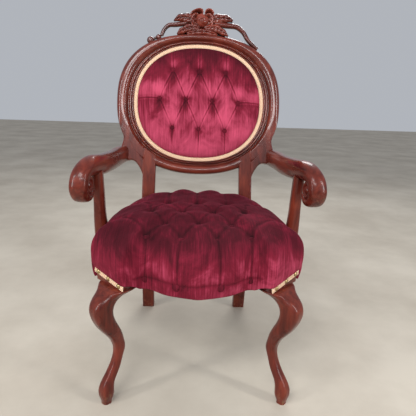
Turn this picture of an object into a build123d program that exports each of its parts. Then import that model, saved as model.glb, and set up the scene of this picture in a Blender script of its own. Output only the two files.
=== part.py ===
from build123d import *
import math
import os

# Show-wood armchair with an oval tufted back and a tufted serpentine seat.
# Sizes are in millimetres. +Z is up, the chair faces -Y and stands on the floor at Z = 0.

# Seat frame
RAIL_BOTTOM = 318.0          # underside of the seat rails above the floor
RAIL_HEIGHT = 54.0
RAIL_THICKNESS = 30.0
BOW_FRONT = 315.0            # how far the middle of the front rail stands forward
BOW_SIDE_X = 70.0            # where the bow turns back
BOW_SIDE_FRONT = 294.0
HOLLOW_X = 128.0             # the hollow between the bow and the leg
HOLLOW_FRONT = 256.0
RAIL_END_SETBACK = 9.0       # the front rail lies this far behind the corner block's point
SIDE_WIDE_X = 257.0          # half width at the widest part of the seat frame
SIDE_WIDE_Y = -120.0
SIDE_ARM_X = 250.0
SIDE_ARM_Y = -40.0
SIDE_TAPER_X = 224.0
SIDE_TAPER_Y = 60.0
REAR_CORNER_X = 184.0
REAR_RAIL_BACK = 204.0       # back face of the rear rail
SIDE_RAIL_REACH = 7.0        # the side rails are drawn this far into the rear posts, then cut to them

# Front legs
CORNER_X = 216.0             # middle of the slanting face of each front corner block
CORNER_Y = -244.0
CORNER_WIDTH = 108.0
CORNER_DEPTH = 26.0          # how far the block runs back beside the side rail
BLOCK_INNER = 48.0           # width of the block's faces that the rails meet
FOOT_X = 228.0
FOOT_Y = -264.0
SECTION_ROUNDING = 0.38      # corner radius of a leg section as a share of its narrow side
# Each leg station: share of the leg's height, reach along the diagonal, width across it, depth along it
LEG_STATIONS = (
    (0.00, 0.0, 24.0, 24.0),
    (0.045, 0.0, 29.0, 29.0),
    (0.115, 0.0, 36.0, 36.0),
    (0.165, -3.0, 33.0, 33.0),
    (0.23, -14.0, 29.0, 29.0),
    (0.32, -30.0, 26.0, 26.0),
    (0.425, -41.0, 26.5, 26.5),
    (0.51, -38.0, 31.0, 31.0),
    (0.60, -24.0, 41.0, 41.0),
    (0.68, -8.0, 48.0, 48.0),
    (0.76, 4.0, 50.0, 50.0),
    (0.84, 7.0, 52.0, 54.0),
    (0.92, -8.0, 60.0, 58.0),
    (0.97, -30.0, 84.0, 56.0),
    (1.00, -45.0, 104.0, 48.0),
)

# Oval back
BACK_Y = 248.7               # middle of the oval
BACK_Z = 748.0
RECLINE = 12.6               # degrees that the back leans
RING_HALF_WIDTH = 271.5
RING_HALF_HEIGHT = 231.5
RING_FRONT = 16.0            # the ring's front and back faces from its middle plane
RING_BACK = 16.0
OVAL_FULLNESS = 2.24         # of the inner ovals: 2 is an ellipse, more is squarer
RING_FULLNESS = 2.5          # of the ring's outer edge
OVAL_STEPS = 32
INNER_RISE = 4.0             # the inner ovals sit a little above the outer one
GROOVE_HALF_WIDTH = 236.0
GROOVE_HALF_HEIGHT = 207.0
GROOVE_WIDTH = 6.0
GROOVE_DEPTH = 7.0
BEAD_DROP = 3.0              # the inner moulding stands this much lower than the band
GIMP_WIDTH = 11.0
GIMP_THICKNESS = 4.0
RABBET_HALF_WIDTH = 214.0    # edge of the recess that takes the upholstery
RABBET_HALF_HEIGHT = 192.0
RABBET_LEVEL = 4.0           # floor of the recess in front of the middle plane
LEDGE_WIDTH = 28.0           # width of the recess floor
RING_JOINT_ANGLE = 38.0      # degrees above level where the top rail meets the stiles

# Ears of the stiles, in the plane of the back
EAR_START_X = 262.0
EAR_START_RISE = -62.0
EAR_WAIST_X = 249.0
EAR_WAIST_RISE = -112.0
EAR_TOP_RISE = -141.0
EAR_BOTTOM_RISE = -198.0
EAR_END_X = 243.0            # where the arm is joined, on the ring's middle plane
EAR_ARCH_X = 214.0
EAR_ARCH_RISE = -191.0
EAR_FOOT_RISE = -238.0
ARM_JOINT_ANGLE = 45.0       # plan angle of the joint between ear and arm

# Rear posts
POST_X = 158.0               # middle of a post where it meets the oval
POST_WIDTH = 42.0
POST_SPLAY = 1.15            # degrees outwards towards the floor
POST_ROUND = 5.0
POST_COPE = 2.0              # the post's hollowed top stays this far outside the groove
POST_TOP_RISE = -110.0       # along the back, before the post is coped to the oval
POST_BEND_RISE = -240.0
POST_SEAT_RISE = 62.0        # where the post is foremost, above the rails' underside
POST_SEAT_FRONT = 164.0
POST_SEAT_DEPTH = 43.0
POST_KNEE_SHARE = 0.6        # where the rear leg turns back, as a share of the height under the rails
POST_KNEE_FRONT = 198.0
POST_KNEE_DEPTH = 39.0
POST_FOOT_FRONT = 266.0
POST_FOOT_DEPTH = 31.0

# Arms: x, y, z, plan heading from straight ahead, pitch below level, width, height
ARM_STATIONS = (
    (256.0, 158.0, 582.0, 9.0, 0.0, 40.0, 57.0),
    (262.0, 60.0, 581.0, 6.0, -2.0, 39.0, 57.0),
    (272.0, -40.0, 585.0, 9.0, -4.0, 41.0, 56.0),
    (284.0, -105.0, 591.0, 16.0, 6.0, 45.0, 50.0),
    (299.0, -148.0, 575.0, 20.0, 52.0, 48.0, 40.0),
    (304.0, -163.0, 543.0, 20.0, 95.0, 50.0, 33.0),
    (300.0, -150.0, 517.0, 20.0, 148.0, 48.0, 27.0),
    (292.0, -126.0, 514.0, 20.0, 205.0, 46.0, 22.0),
    (287.0, -114.0, 532.0, 20.0, 265.0, 44.0, 16.0),
)
ARM_ROOT_WIDTH = 43.0
ARM_ROOT_HEIGHT = 56.0
ARM_ROUNDING = 0.42
ARM_STEPS = 3                # sections from each station to the next

# Arm posts: share of the height from the rail's underside into the arm, x, y, width, depth
ARM_POST_TOP = 586.0
ARM_POST_SINK = 27.0         # the arm's underside is this far below the post's drawn top
ARM_POST_STATIONS = (
    (0.00, 267.0, -38.0, 40.0, 50.0),
    (0.18, 269.0, -41.0, 42.0, 46.0),
    (0.35, 273.0, -48.0, 36.0, 39.0),
    (0.54, 273.0, -60.0, 31.0, 35.0),
    (0.76, 272.0, -72.0, 29.0, 33.0),
    (1.00, 273.0, -78.0, 31.0, 35.0),
)

# Seat upholstery
CLEARANCE = 0.3
COVER_THICKNESS = 7.0        # padded cover over the outer faces of the rails
SEAT_MIDDLE_Y = -60.0
# Each seat level: height above the rail's underside, share of the plan, shift of the plan's middle
SEAT_LEVELS = (
    (0.0, 1.000, 0.0),
    (32.0, 1.018, 0.0),
    (66.0, 1.034, 0.0),
    (92.0, 1.020, 0.0),
    (113.0, 0.965, 5.0),
    (130.0, 0.870, 22.0),
    (143.0, 0.740, 48.0),
    (151.0, 0.560, 74.0),
    (155.0, 0.300, 92.0),
)
TUFT_PITCH = 86.0            # across the seat
TUFT_ROW_PITCH = 85.0        # from row to row
TUFT_FRONT_ROW = -250.0
SEAT_TUFT_RISES = (122.0, 131.0, 140.0, 142.0)  # pit floors above the rails' underside, row by row
OUTER_TUFT_SETBACK = 28.0    # the outer front tufts follow the serpentine edge
OUTER_TUFT_DROP = 4.0
TUFT_FLOOR_RADIUS = 11.0
TUFT_MOUTH_RADIUS = 30.0
TUFT_DEPTH = 40.0
SHORT_ROW = (-1.5, -0.5, 0.5, 1.5)
ODD_ROW = (-1, 0, 1)
PLEAT_LIFT = 8.0             # the back folds' floors above the pit floors
SEAT_PLEAT_LIFT = 4.0        # the same for the seat
PLEAT_DEPTH = 44.0
PLEAT_HALF_WIDTH = 12.0
FACE_TUFT_RISE = 25.0        # height of the front row above the rails' underside
FACE_TUFT_X = (52.0, 127.0)
FACE_TUFT_DEPTH = 4.0
BUTTON_RADIUS = 9.5
BUTTON_HEIGHT = 6.0
BUTTON_ROUND = 2.5

# Seat springs
SPRING_SIDES = (-2, -1, 0, 1, 2)
SPRING_PITCH = 55.0
SPRING_WIRE = 3.6
SPRING_RUN = 26.0            # straight length of each cross bar
SPRING_BARS = 23             # odd, so that both end bars run the same way
SPRING_SETBACK = 22.0        # middle of a front clip behind the rail's outer face
CLIP_WIDTH = 16.0
CLIP_DEPTH = 12.0
CLIP_HEIGHT = 7.0
BURLAP_THICKNESS = 1.5
DUST_COVER_THICKNESS = 1.2
DUST_COVER_INSET = 9.0

# Back upholstery
# Each level of the back pad: share of its crown, share of its outline
BACK_CROWN = 34.0
BACK_LEVELS = ((0.0, 1.0), (0.25, 0.985), (0.5, 0.93), (0.72, 0.82), (0.88, 0.64), (0.97, 0.42), (1.0, 0.2))
BACK_ROWS = ((-1, 0, 1), (-1.5, -0.5, 0.5, 1.5), (-1, 0, 1))
OUTSIDE_BACK_THICKNESS = 5.0
BACK_TUFT_PITCH = 86.0
BACK_TUFT_ROW = 94.0
BACK_TUFT_RISE = 10.0        # height of the middle row above the oval's middle
BACK_TUFT_LEVEL = 9.0        # pit floors above the recess floor
BACK_MOUTH_RADIUS = 27.0

# Knee gimp and nails
KNEE_GIMP_LENGTH = 112.0
KNEE_GIMP_WIDTH = 12.0
KNEE_GIMP_RISE = 18.0        # middle of the strip above the rails' underside
KNEE_GIMP_SLOPE = 9.0        # degrees, lower at the front
NAIL_RADIUS = 4.5
NAIL_SPACING = 42.0
NAIL_SHANK = 10.0

# Joinery
DOWEL_RADIUS = 4.0
DOWEL_LENGTH = 40.0
DOWEL_SLACK = 0.1            # on the radius, and at each end
DOWEL_SPREAD = 26.0          # between the two dowels of a joint
RING_DOWEL_SPREAD = 20.0
SMALL_DOWEL_LENGTH = 26.0
SCREW_RADIUS = 2.4
SCREW_HEAD_RADIUS = 4.5
SCREW_HEAD_HEIGHT = 3.0
SCREW_LENGTH = 46.0
SCREW_SINK = 1.5             # the head lies this far below the surface
BLOCK_HEIGHT = 38.0
BLOCK_LEG = 66.0             # how far a glue block reaches along each rail
BLOCK_SEAT = 0.8             # share of the rail's thickness that a block is drawn into, then cut to it

# Carved crest, in the plane of the back
ROSE_X = 6.0
ROSE_RISE = 41.5             # rises in the crest are above the ring's top
ROSE_RADIUS = 26.0
PETAL_RADIUS = 17.0
PETAL_COUNT = 6
BUD_RADIUS = 17.0
BUD_FORWARD = 8.0
CREST_THICKNESS = 24.0
LEFT_LEAF = (
    (-10.0, 22.0),
    (-38.0, 64.0),
    (-60.0, 48.0),
    (-88.0, 44.0),
    (-72.0, 24.0),
    (-74.0, 2.0),
    (-40.0, -8.0),
)
RIGHT_LEAF = (
    (14.0, 22.0),
    (48.0, 65.0),
    (72.0, 52.0),
    (107.0, 46.0),
    (84.0, 28.0),
    (86.0, 6.0),
    (44.0, -8.0),
)
LEFT_STEM = ((-70.0, 34.0), (-107.0, 26.0), (-130.0, -10.0))
RIGHT_STEM = ((84.0, 36.0), (142.0, 15.0), (191.0, -40.0))
BERRY_STEM = ((-124.0, 2.0), (-146.0, -12.0), (-168.0, -34.0))
BERRIES = ((-138.0, -11.0), (-164.0, -23.0))
STEM_RADIUS = 7.0
BERRY_RADIUS = 11.5
CREST_DOWEL_X = 34.0

RAIL_TOP = RAIL_BOTTOM + RAIL_HEIGHT
RAIL_MIDDLE = RAIL_BOTTOM + RAIL_HEIGHT / 2
POST_SEAT_Z = RAIL_BOTTOM + POST_SEAT_RISE
POST_KNEE_Z = POST_KNEE_SHARE * RAIL_BOTTOM
LEAN = math.radians(RECLINE)
PANEL = Plane(
    origin=(0, BACK_Y, BACK_Z),
    x_dir=(1, 0, 0),
    z_dir=(0, -math.cos(LEAN), math.sin(LEAN)),
)
RING_DEPTH = RING_FRONT + RING_BACK
BEAD_HALF_WIDTH = GROOVE_HALF_WIDTH - GROOVE_WIDTH
BEAD_HALF_HEIGHT = GROOVE_HALF_HEIGHT - GROOVE_WIDTH
REACH = 2 * RING_HALF_WIDTH   # longer than anything that a cutting block has to pass
DIAGONAL = math.sqrt(0.5)


def panel_point(across, rise, forward=0.0):
    """A point given in the plane of the back."""
    return PANEL.from_local_coords(Vector(across, rise, forward))


def oval(half_width, half_height, middle_rise, fullness=OVAL_FULLNESS):
    """Closed oval line, fuller than an ellipse."""
    points = []
    for step in range(OVAL_STEPS):
        turn = 2 * math.pi * step / OVAL_STEPS
        across = abs(math.cos(turn)) / half_width
        along = abs(math.sin(turn)) / half_height
        radius = (across**fullness + along**fullness) ** (-1 / fullness)
        points.append((radius * math.cos(turn), middle_rise + radius * math.sin(turn)))
    return Spline(*points, periodic=True)


def oval_face(half_width, half_height, middle_rise, fullness=OVAL_FULLNESS):
    """Filled oval for the sketch that is being drawn."""
    with BuildLine() as edge:
        oval(half_width, half_height, middle_rise, fullness)
    make_face(edge.edges())


def mirrored(part):
    """The same piece for the chair's left side."""
    with BuildPart() as other:
        mirror(part, about=Plane.YZ)
    return other.part


def save(part, name):
    """Name a finished piece and write it."""
    part.label = name
    export_step(part, f"parts/{name}.step")


def peg(start, direction, radius, length):
    """Round pin that is centred on a point."""
    with BuildPart(Plane(origin=start, z_dir=direction)) as pin:
        Cylinder(radius, length)
    return pin.part


def dowels(middles, direction, length):
    """Dowels of one joint, and the bores that take them."""
    pins = [peg(middle, direction, DOWEL_RADIUS, length) for middle in middles]
    bore_radius = DOWEL_RADIUS + DOWEL_SLACK
    bores = [peg(middle, direction, bore_radius, length + 2 * DOWEL_SLACK) for middle in middles]
    return pins, bores


os.makedirs("parts", exist_ok=True)

# Corner points of the seat plan, right side
CORNER_HALF = CORNER_WIDTH / 2 * DIAGONAL
CORNER_FRONT = (CORNER_X - CORNER_HALF, CORNER_Y - CORNER_HALF)
CORNER_SIDE = (CORNER_X + CORNER_HALF, CORNER_Y + CORNER_HALF)
SIDE_JOINT_Y = CORNER_SIDE[1] + CORNER_DEPTH
RAIL_END_Y = CORNER_FRONT[1] + RAIL_END_SETBACK


def front_curve(grow, end):
    """Right half of the serpentine front, from the middle to the leg."""
    return [
        (0, -BOW_FRONT - grow),
        (BOW_SIDE_X, -BOW_SIDE_FRONT - grow),
        (HOLLOW_X, -HOLLOW_FRONT - grow),
        end,
    ]


def side_curve(grow, start):
    """Right side of the seat, from the leg to the rear post."""
    return [
        start,
        (SIDE_WIDE_X + grow, SIDE_WIDE_Y),
        (SIDE_ARM_X + grow, SIDE_ARM_Y),
        (SIDE_TAPER_X + grow, SIDE_TAPER_Y),
        (REAR_CORNER_X + grow, POST_SEAT_FRONT),
    ]


def seat_plan(grow=0.0, share=1.0, shift=0.0):
    """Closed outline of the seat in the sketch that is being drawn."""
    diagonal_grow = grow / DIAGONAL

    def place(point, side=1):
        return (side * share * point[0], SEAT_MIDDLE_Y + shift + share * (point[1] - SEAT_MIDDLE_Y))

    front_end = (CORNER_FRONT[0], CORNER_FRONT[1] - diagonal_grow)
    side_start = (CORNER_SIDE[0] + diagonal_grow, CORNER_SIDE[1])
    front = front_curve(grow, front_end)
    side = side_curve(grow, side_start)
    back = (POST_X - POST_WIDTH / 2 + grow, REAR_RAIL_BACK + grow)
    with BuildLine() as edge:
        Spline(*[place(p, -1) for p in reversed(front)], *[place(p) for p in front[1:]])
        for hand in (1, -1):
            Line(place(front_end, hand), place(side_start, hand))
            Spline(*[place(p, hand) for p in side])
            Line(place(side[-1], hand), place(back, hand))
        Line(place(back), place(back, -1))
    make_face(edge.edges())


# Rear posts: leg and upright in one piece, coped to the oval's groove line
POST_TOP = panel_point(POST_X, POST_TOP_RISE)
SPLAY = math.radians(POST_SPLAY)
POST_PLANE = Plane(
    origin=(POST_X, 0, POST_TOP.Z),
    x_dir=(0, 1, 0),
    z_dir=(math.cos(SPLAY), 0, math.sin(SPLAY)),
)


def post_edge(forward, seat_y, knee_y, foot_y):
    """One long edge of the post's side view, from the top down to the floor."""
    top = panel_point(POST_X, POST_TOP_RISE, forward)
    bend = panel_point(POST_X, POST_BEND_RISE, forward)
    down = [(bend.Y, bend.Z), (seat_y, POST_SEAT_Z), (knee_y, POST_KNEE_Z), (foot_y, -POST_ROUND)]
    lower = [(y, z - POST_TOP.Z) for y, z in down]
    slope = (-math.sin(LEAN), -math.cos(LEAN))
    rake = (foot_y - knee_y, -POST_KNEE_Z)
    Line((top.Y, top.Z - POST_TOP.Z), lower[0])
    Spline(*lower, tangents=(slope, rake))
    return (top.Y, top.Z - POST_TOP.Z), lower[-1]


with BuildPart() as rear_post:
    with BuildSketch(POST_PLANE):
        with BuildLine():
            front_top, front_foot = post_edge(RING_FRONT, POST_SEAT_FRONT, POST_KNEE_FRONT, POST_FOOT_FRONT)
            back_top, back_foot = post_edge(
                -RING_BACK,
                POST_SEAT_FRONT + POST_SEAT_DEPTH,
                POST_KNEE_FRONT + POST_KNEE_DEPTH,
                POST_FOOT_FRONT + POST_FOOT_DEPTH,
            )
            Line(front_top, back_top)
            Line(front_foot, back_foot)
        make_face()
    extrude(amount=POST_WIDTH / 2, both=True)
    fillet(rear_post.edges().filter_by(lambda edge: edge.length > 1.5 * POST_WIDTH), POST_ROUND)
    split(bisect_by=Plane.XY, keep=Keep.TOP)
    with BuildSketch(PANEL.offset(-REACH / 2)):
        oval_face(GROOVE_HALF_WIDTH + POST_COPE, GROOVE_HALF_HEIGHT + POST_COPE, INNER_RISE)
    extrude(amount=REACH, mode=Mode.SUBTRACT)

# Front legs: cabriole leg with the block that the rails are dowelled to
with BuildPart() as front_leg:
    for share, reach, across, deep in LEG_STATIONS:
        spot = (FOOT_X + reach * DIAGONAL, FOOT_Y - reach * DIAGONAL, share * RAIL_BOTTOM)
        with BuildSketch(Plane(origin=spot, x_dir=(DIAGONAL, DIAGONAL, 0), z_dir=(0, 0, 1))):
            RectangleRounded(across, deep, SECTION_ROUNDING * min(across, deep))
    loft()
    with BuildSketch(Plane.XY.offset(RAIL_BOTTOM)):
        Polygon(
            CORNER_FRONT,
            CORNER_SIDE,
            (CORNER_SIDE[0], SIDE_JOINT_Y),
            (CORNER_SIDE[0] - BLOCK_INNER, SIDE_JOINT_Y),
            (CORNER_FRONT[0], CORNER_FRONT[1] + BLOCK_INNER),
            align=None,
        )
    extrude(amount=RAIL_HEIGHT)

# Seat rails
with BuildPart() as front_rail:
    with BuildSketch(Plane.XY.offset(RAIL_BOTTOM)):
        half = front_curve(0.0, (CORNER_FRONT[0], RAIL_END_Y))
        outer = [(-x, y) for x, y in reversed(half)] + half[1:]
        inner = [(x, y + RAIL_THICKNESS) for x, y in outer]
        with BuildLine():
            Spline(*outer)
            Spline(*inner)
            Line(outer[0], inner[0])
            Line(outer[-1], inner[-1])
        make_face()
    extrude(amount=RAIL_HEIGHT)

with BuildPart() as side_rail:
    with BuildSketch(Plane.XY.offset(RAIL_BOTTOM)):
        outer = side_curve(0.0, (CORNER_SIDE[0], SIDE_JOINT_Y))
        taper = (SIDE_TAPER_X - REAR_CORNER_X) / (POST_SEAT_FRONT - SIDE_TAPER_Y)
        outer.append((REAR_CORNER_X - taper * SIDE_RAIL_REACH, POST_SEAT_FRONT + SIDE_RAIL_REACH))
        inner = [(x - RAIL_THICKNESS, y) for x, y in outer]
        with BuildLine():
            Spline(*outer)
            Spline(*inner)
            Line(outer[0], inner[0])
            Line(outer[-1], inner[-1])
        make_face()
    extrude(amount=RAIL_HEIGHT)
    add(rear_post.part, mode=Mode.SUBTRACT)

with BuildPart() as rear_rail:
    with Locations((0, REAR_RAIL_BACK - RAIL_THICKNESS / 2, RAIL_MIDDLE)):
        Box(2 * POST_X, RAIL_THICKNESS, RAIL_HEIGHT)
    add(rear_post.part, mode=Mode.SUBTRACT)
    add(mirrored(rear_post.part), mode=Mode.SUBTRACT)


# Joint between the stile's ear and the arm
ARM_TURN = math.radians(ARM_JOINT_ANGLE)
ARM_ROOT = panel_point(EAR_END_X, (EAR_TOP_RISE + EAR_BOTTOM_RISE) / 2)
ARM_HEADING = (math.sin(ARM_TURN), -math.cos(ARM_TURN), 0)
ARM_JOINT = Plane(origin=ARM_ROOT, x_dir=(math.cos(ARM_TURN), math.sin(ARM_TURN), 0), z_dir=ARM_HEADING)
EAR_HEIGHT = EAR_TOP_RISE - EAR_BOTTOM_RISE
EAR_TIP_X = EAR_END_X + RING_BACK * math.tan(ARM_TURN)


def ear_face():
    """Flared ear of the right stile, for the sketch that is being drawn."""
    post_side = POST_X + POST_WIDTH / 2
    with BuildLine() as edge:
        Spline((EAR_START_X, EAR_START_RISE), (EAR_WAIST_X, EAR_WAIST_RISE), (EAR_TIP_X, EAR_TOP_RISE))
        Line((EAR_TIP_X, EAR_TOP_RISE), (EAR_TIP_X, EAR_BOTTOM_RISE))
        Spline((EAR_TIP_X, EAR_BOTTOM_RISE), (EAR_ARCH_X, EAR_ARCH_RISE), (post_side, EAR_FOOT_RISE))
        Line((post_side, EAR_FOOT_RISE), (POST_X, EAR_FOOT_RISE))
        Line((POST_X, EAR_FOOT_RISE), (POST_X, EAR_TOP_RISE))
        Line((POST_X, EAR_TOP_RISE), (EAR_START_X, EAR_START_RISE))
    make_face(edge.edges())


JOINT_RISE = REACH * math.tan(math.radians(RING_JOINT_ANGLE))


def ring_segment(corners, eared):
    """One sawn segment of the oval ring, with the mouldings of its face."""
    with BuildPart() as segment:
        with BuildSketch(PANEL.offset(-RING_BACK)):
            oval_face(RING_HALF_WIDTH, RING_HALF_HEIGHT, 0, RING_FULLNESS)
            if eared:
                ear_face()
        extrude(amount=RING_DEPTH)
        with BuildSketch(PANEL.offset(-REACH)):
            Polygon(*corners, align=None)
        extrude(amount=2 * REACH, mode=Mode.INTERSECT)
        with BuildSketch(PANEL.offset(-RING_DEPTH)):
            oval_face(RABBET_HALF_WIDTH - LEDGE_WIDTH, RABBET_HALF_HEIGHT - LEDGE_WIDTH, INNER_RISE)
        extrude(amount=2 * RING_DEPTH, mode=Mode.SUBTRACT)
        with BuildSketch(PANEL.offset(RABBET_LEVEL)):
            oval_face(RABBET_HALF_WIDTH, RABBET_HALF_HEIGHT, INNER_RISE)
        extrude(amount=RING_DEPTH, mode=Mode.SUBTRACT)
        with BuildSketch(PANEL.offset(RING_FRONT - BEAD_DROP)):
            oval_face(BEAD_HALF_WIDTH, BEAD_HALF_HEIGHT, INNER_RISE)
        extrude(amount=RING_DEPTH, mode=Mode.SUBTRACT)
        with BuildSketch(PANEL.offset(RING_FRONT - GROOVE_DEPTH)):
            oval_face(GROOVE_HALF_WIDTH, GROOVE_HALF_HEIGHT, INNER_RISE)
            with BuildLine() as bead:
                oval(BEAD_HALF_WIDTH, BEAD_HALF_HEIGHT, INNER_RISE)
            make_face(bead.edges(), mode=Mode.SUBTRACT)
        extrude(amount=RING_DEPTH, mode=Mode.SUBTRACT)
        if eared:
            with BuildSketch(ARM_JOINT):
                with Locations((0, EAR_HEIGHT / 2)):
                    Rectangle(REACH, 2 * EAR_HEIGHT, align=(Align.CENTER, Align.MAX))
            extrude(amount=REACH, mode=Mode.SUBTRACT)
        add(rear_post.part, mode=Mode.SUBTRACT)
        add(mirrored(rear_post.part), mode=Mode.SUBTRACT)
    return segment.part


top_rail = ring_segment(
    [(0, 0), (REACH, JOINT_RISE), (REACH, 2 * REACH), (-REACH, 2 * REACH), (-REACH, JOINT_RISE)],
    eared=False,
)
bottom_rail = ring_segment(
    [(-POST_X, 0), (POST_X, 0), (POST_X, -REACH), (-POST_X, -REACH)],
    eared=False,
)
stile = ring_segment(
    [(0, 0), (REACH, JOINT_RISE), (REACH, -REACH), (POST_X, -REACH), (POST_X, 0)],
    eared=True,
)


# Arms
def arm_plane(x, y, z, heading, pitch):
    """Cross-section plane of the arm for a plan heading and a downward pitch."""
    turn = math.radians(heading)
    dip = math.radians(pitch)
    level = Vector(math.sin(turn), -math.cos(turn), 0)
    along = level * math.cos(dip) - Vector(0, 0, 1) * math.sin(dip)
    return Plane(origin=(x, y, z), x_dir=(math.cos(turn), math.sin(turn), 0), z_dir=along)


def in_between(stations, steps):
    """The stations with smooth values added between them."""
    full = [stations[0]]
    last = len(stations) - 1
    for index in range(last):
        before = stations[max(index - 1, 0)]
        start = stations[index]
        end = stations[index + 1]
        after = stations[min(index + 2, last)]
        for step in range(1, steps + 1):
            t = step / steps
            values = []
            for a, b, c, d in zip(before, start, end, after):
                bend = (2 * a - 5 * b + 4 * c - d) * t + (3 * b - a - 3 * c + d) * t * t
                values.append(b + 0.5 * t * (c - a + bend))
            full.append(tuple(values))
    return full


arm_root_station = (*ARM_ROOT, ARM_JOINT_ANGLE, 0.0, ARM_ROOT_WIDTH, ARM_ROOT_HEIGHT)
with BuildPart() as arm:
    for x, y, z, heading, pitch, width, height in in_between((arm_root_station, *ARM_STATIONS), ARM_STEPS):
        with BuildSketch(arm_plane(x, y, z, heading, pitch)):
            RectangleRounded(width, height, ARM_ROUNDING * min(width, height))
    loft(ruled=True)


def arm_post_form(grow):
    """Curved arm support, or the slightly larger space that it stands in."""
    with BuildPart() as form:
        for share, x, y, width, depth in ARM_POST_STATIONS:
            level = RAIL_BOTTOM + share * (ARM_POST_TOP - RAIL_BOTTOM)
            with BuildSketch(Plane(origin=(x, y, level))):
                RectangleRounded(width + 2 * grow, depth + 2 * grow, SECTION_ROUNDING * width)
        loft()
    return form.part


with BuildPart() as arm_post:
    add(arm_post_form(0.0))
    add(arm.part, mode=Mode.SUBTRACT)
    add(side_rail.part, mode=Mode.SUBTRACT)

# Carved crest, seated on the ring's top edge
with BuildPart() as crest:
    for leaf in (LEFT_LEAF, RIGHT_LEAF):
        with BuildSketch(PANEL.offset(-CREST_THICKNESS / 2)):
            with BuildLine():
                Spline(*[(x, RING_HALF_HEIGHT + rise) for x, rise in leaf], periodic=True)
            make_face()
        extrude(amount=CREST_THICKNESS)
    for stem in (LEFT_STEM, RIGHT_STEM, BERRY_STEM):
        with BuildLine(PANEL) as run:
            ThreePointArc(*[(x, RING_HALF_HEIGHT + rise) for x, rise in stem])
        with BuildSketch(Plane(origin=run.line @ 0, z_dir=run.line % 0)):
            Circle(STEM_RADIUS)
        sweep(path=run.line)
    for x, rise in BERRIES:
        with Locations(panel_point(x, RING_HALF_HEIGHT + rise)):
            Sphere(BERRY_RADIUS)
    with Locations(panel_point(ROSE_X, RING_HALF_HEIGHT + ROSE_RISE, BUD_FORWARD)):
        Sphere(BUD_RADIUS)
    for petal in range(PETAL_COUNT):
        turn = 2 * math.pi * petal / PETAL_COUNT + math.pi / 2
        across = ROSE_X + ROSE_RADIUS * math.cos(turn)
        rise = RING_HALF_HEIGHT + ROSE_RISE + ROSE_RADIUS * math.sin(turn)
        with Locations(panel_point(across, rise)):
            Sphere(PETAL_RADIUS)
    with BuildSketch(PANEL.offset(-REACH)):
        oval_face(RING_HALF_WIDTH, RING_HALF_HEIGHT, 0, RING_FULLNESS)
    extrude(amount=2 * REACH, mode=Mode.SUBTRACT)


# Seat springs, their clips and the hessian over them
with BuildLine(mode=Mode.PRIVATE) as rail_line:
    Spline(*front_curve(0.0, (CORNER_FRONT[0], RAIL_END_Y)))


def front_rail_y(x):
    """Outer face of the front rail at a distance from the chair's middle."""
    low, high = 0.0, 1.0
    while high - low > CLEARANCE / REACH:
        guess = (low + high) / 2
        if (rail_line.line @ guess).X < abs(x):
            low = guess
        else:
            high = guess
    return (rail_line.line @ low).Y


SPRING_Z = RAIL_TOP + CLIP_HEIGHT / 2
SPRING_BACK = REAR_RAIL_BACK - RAIL_THICKNESS / 2
SPRING_SPOTS = []
for side in SPRING_SIDES:
    SPRING_SPOTS.append((side * SPRING_PITCH, front_rail_y(side * SPRING_PITCH) + SPRING_SETBACK))

with BuildPart() as seat_springs:
    for x, front in SPRING_SPOTS:
        pitch = (SPRING_BACK - front) / (SPRING_BARS - 1)
        with BuildLine(Plane.XY.offset(SPRING_Z)) as zigzag:
            for bar in range(SPRING_BARS):
                way = 1 if bar % 2 == 0 else -1
                y = front + bar * pitch
                end = x + way * SPRING_RUN / 2
                Line((x - way * SPRING_RUN / 2, y), (end, y))
                if bar < SPRING_BARS - 1:
                    ThreePointArc((end, y), (end + way * pitch / 2, y + pitch / 2), (end, y + pitch))
        with BuildSketch(Plane(origin=zigzag.wire() @ 0, z_dir=zigzag.wire() % 0)):
            Circle(SPRING_WIRE / 2)
        sweep(path=zigzag.wire())

with BuildPart() as spring_clips:
    for x, front in SPRING_SPOTS:
        with Locations((x, front, SPRING_Z), (x, SPRING_BACK, SPRING_Z)):
            Box(CLIP_WIDTH, CLIP_DEPTH, CLIP_HEIGHT)
            Cylinder(
                SPRING_WIRE / 2 + DOWEL_SLACK,
                CLIP_WIDTH,
                rotation=(0, 90, 0),
                mode=Mode.SUBTRACT,
            )

POST_NOTCH = (POST_X - POST_WIDTH / 2 - CLEARANCE, POST_SEAT_FRONT - 2 * CLEARANCE)


def post_notches():
    """Space cut from the seat's soft layers for the two rear posts."""
    with BuildPart() as notches:
        for hand, side in ((1, Align.MIN), (-1, Align.MAX)):
            with Locations((hand * POST_NOTCH[0], POST_NOTCH[1], 0)):
                Box(REACH, REACH, 2 * REACH, align=(side, Align.MIN, Align.CENTER))
    return notches.part


DECK_INSET = RAIL_THICKNESS / 4
DECK_Z = RAIL_TOP + CLIP_HEIGHT + CLEARANCE
with BuildPart() as seat_burlap:
    with BuildSketch(Plane.XY.offset(DECK_Z)):
        seat_plan(-DECK_INSET - CLEARANCE)
    extrude(amount=BURLAP_THICKNESS)
    add(post_notches(), mode=Mode.SUBTRACT)

with BuildPart() as dust_cover:
    with BuildSketch(Plane.XY.offset(RAIL_BOTTOM - DUST_COVER_THICKNESS)):
        seat_plan(-DUST_COVER_INSET)
    extrude(amount=DUST_COVER_THICKNESS)
    add(post_notches(), mode=Mode.SUBTRACT)
    add(front_leg.part, mode=Mode.SUBTRACT)
    add(mirrored(front_leg.part), mode=Mode.SUBTRACT)

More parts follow.
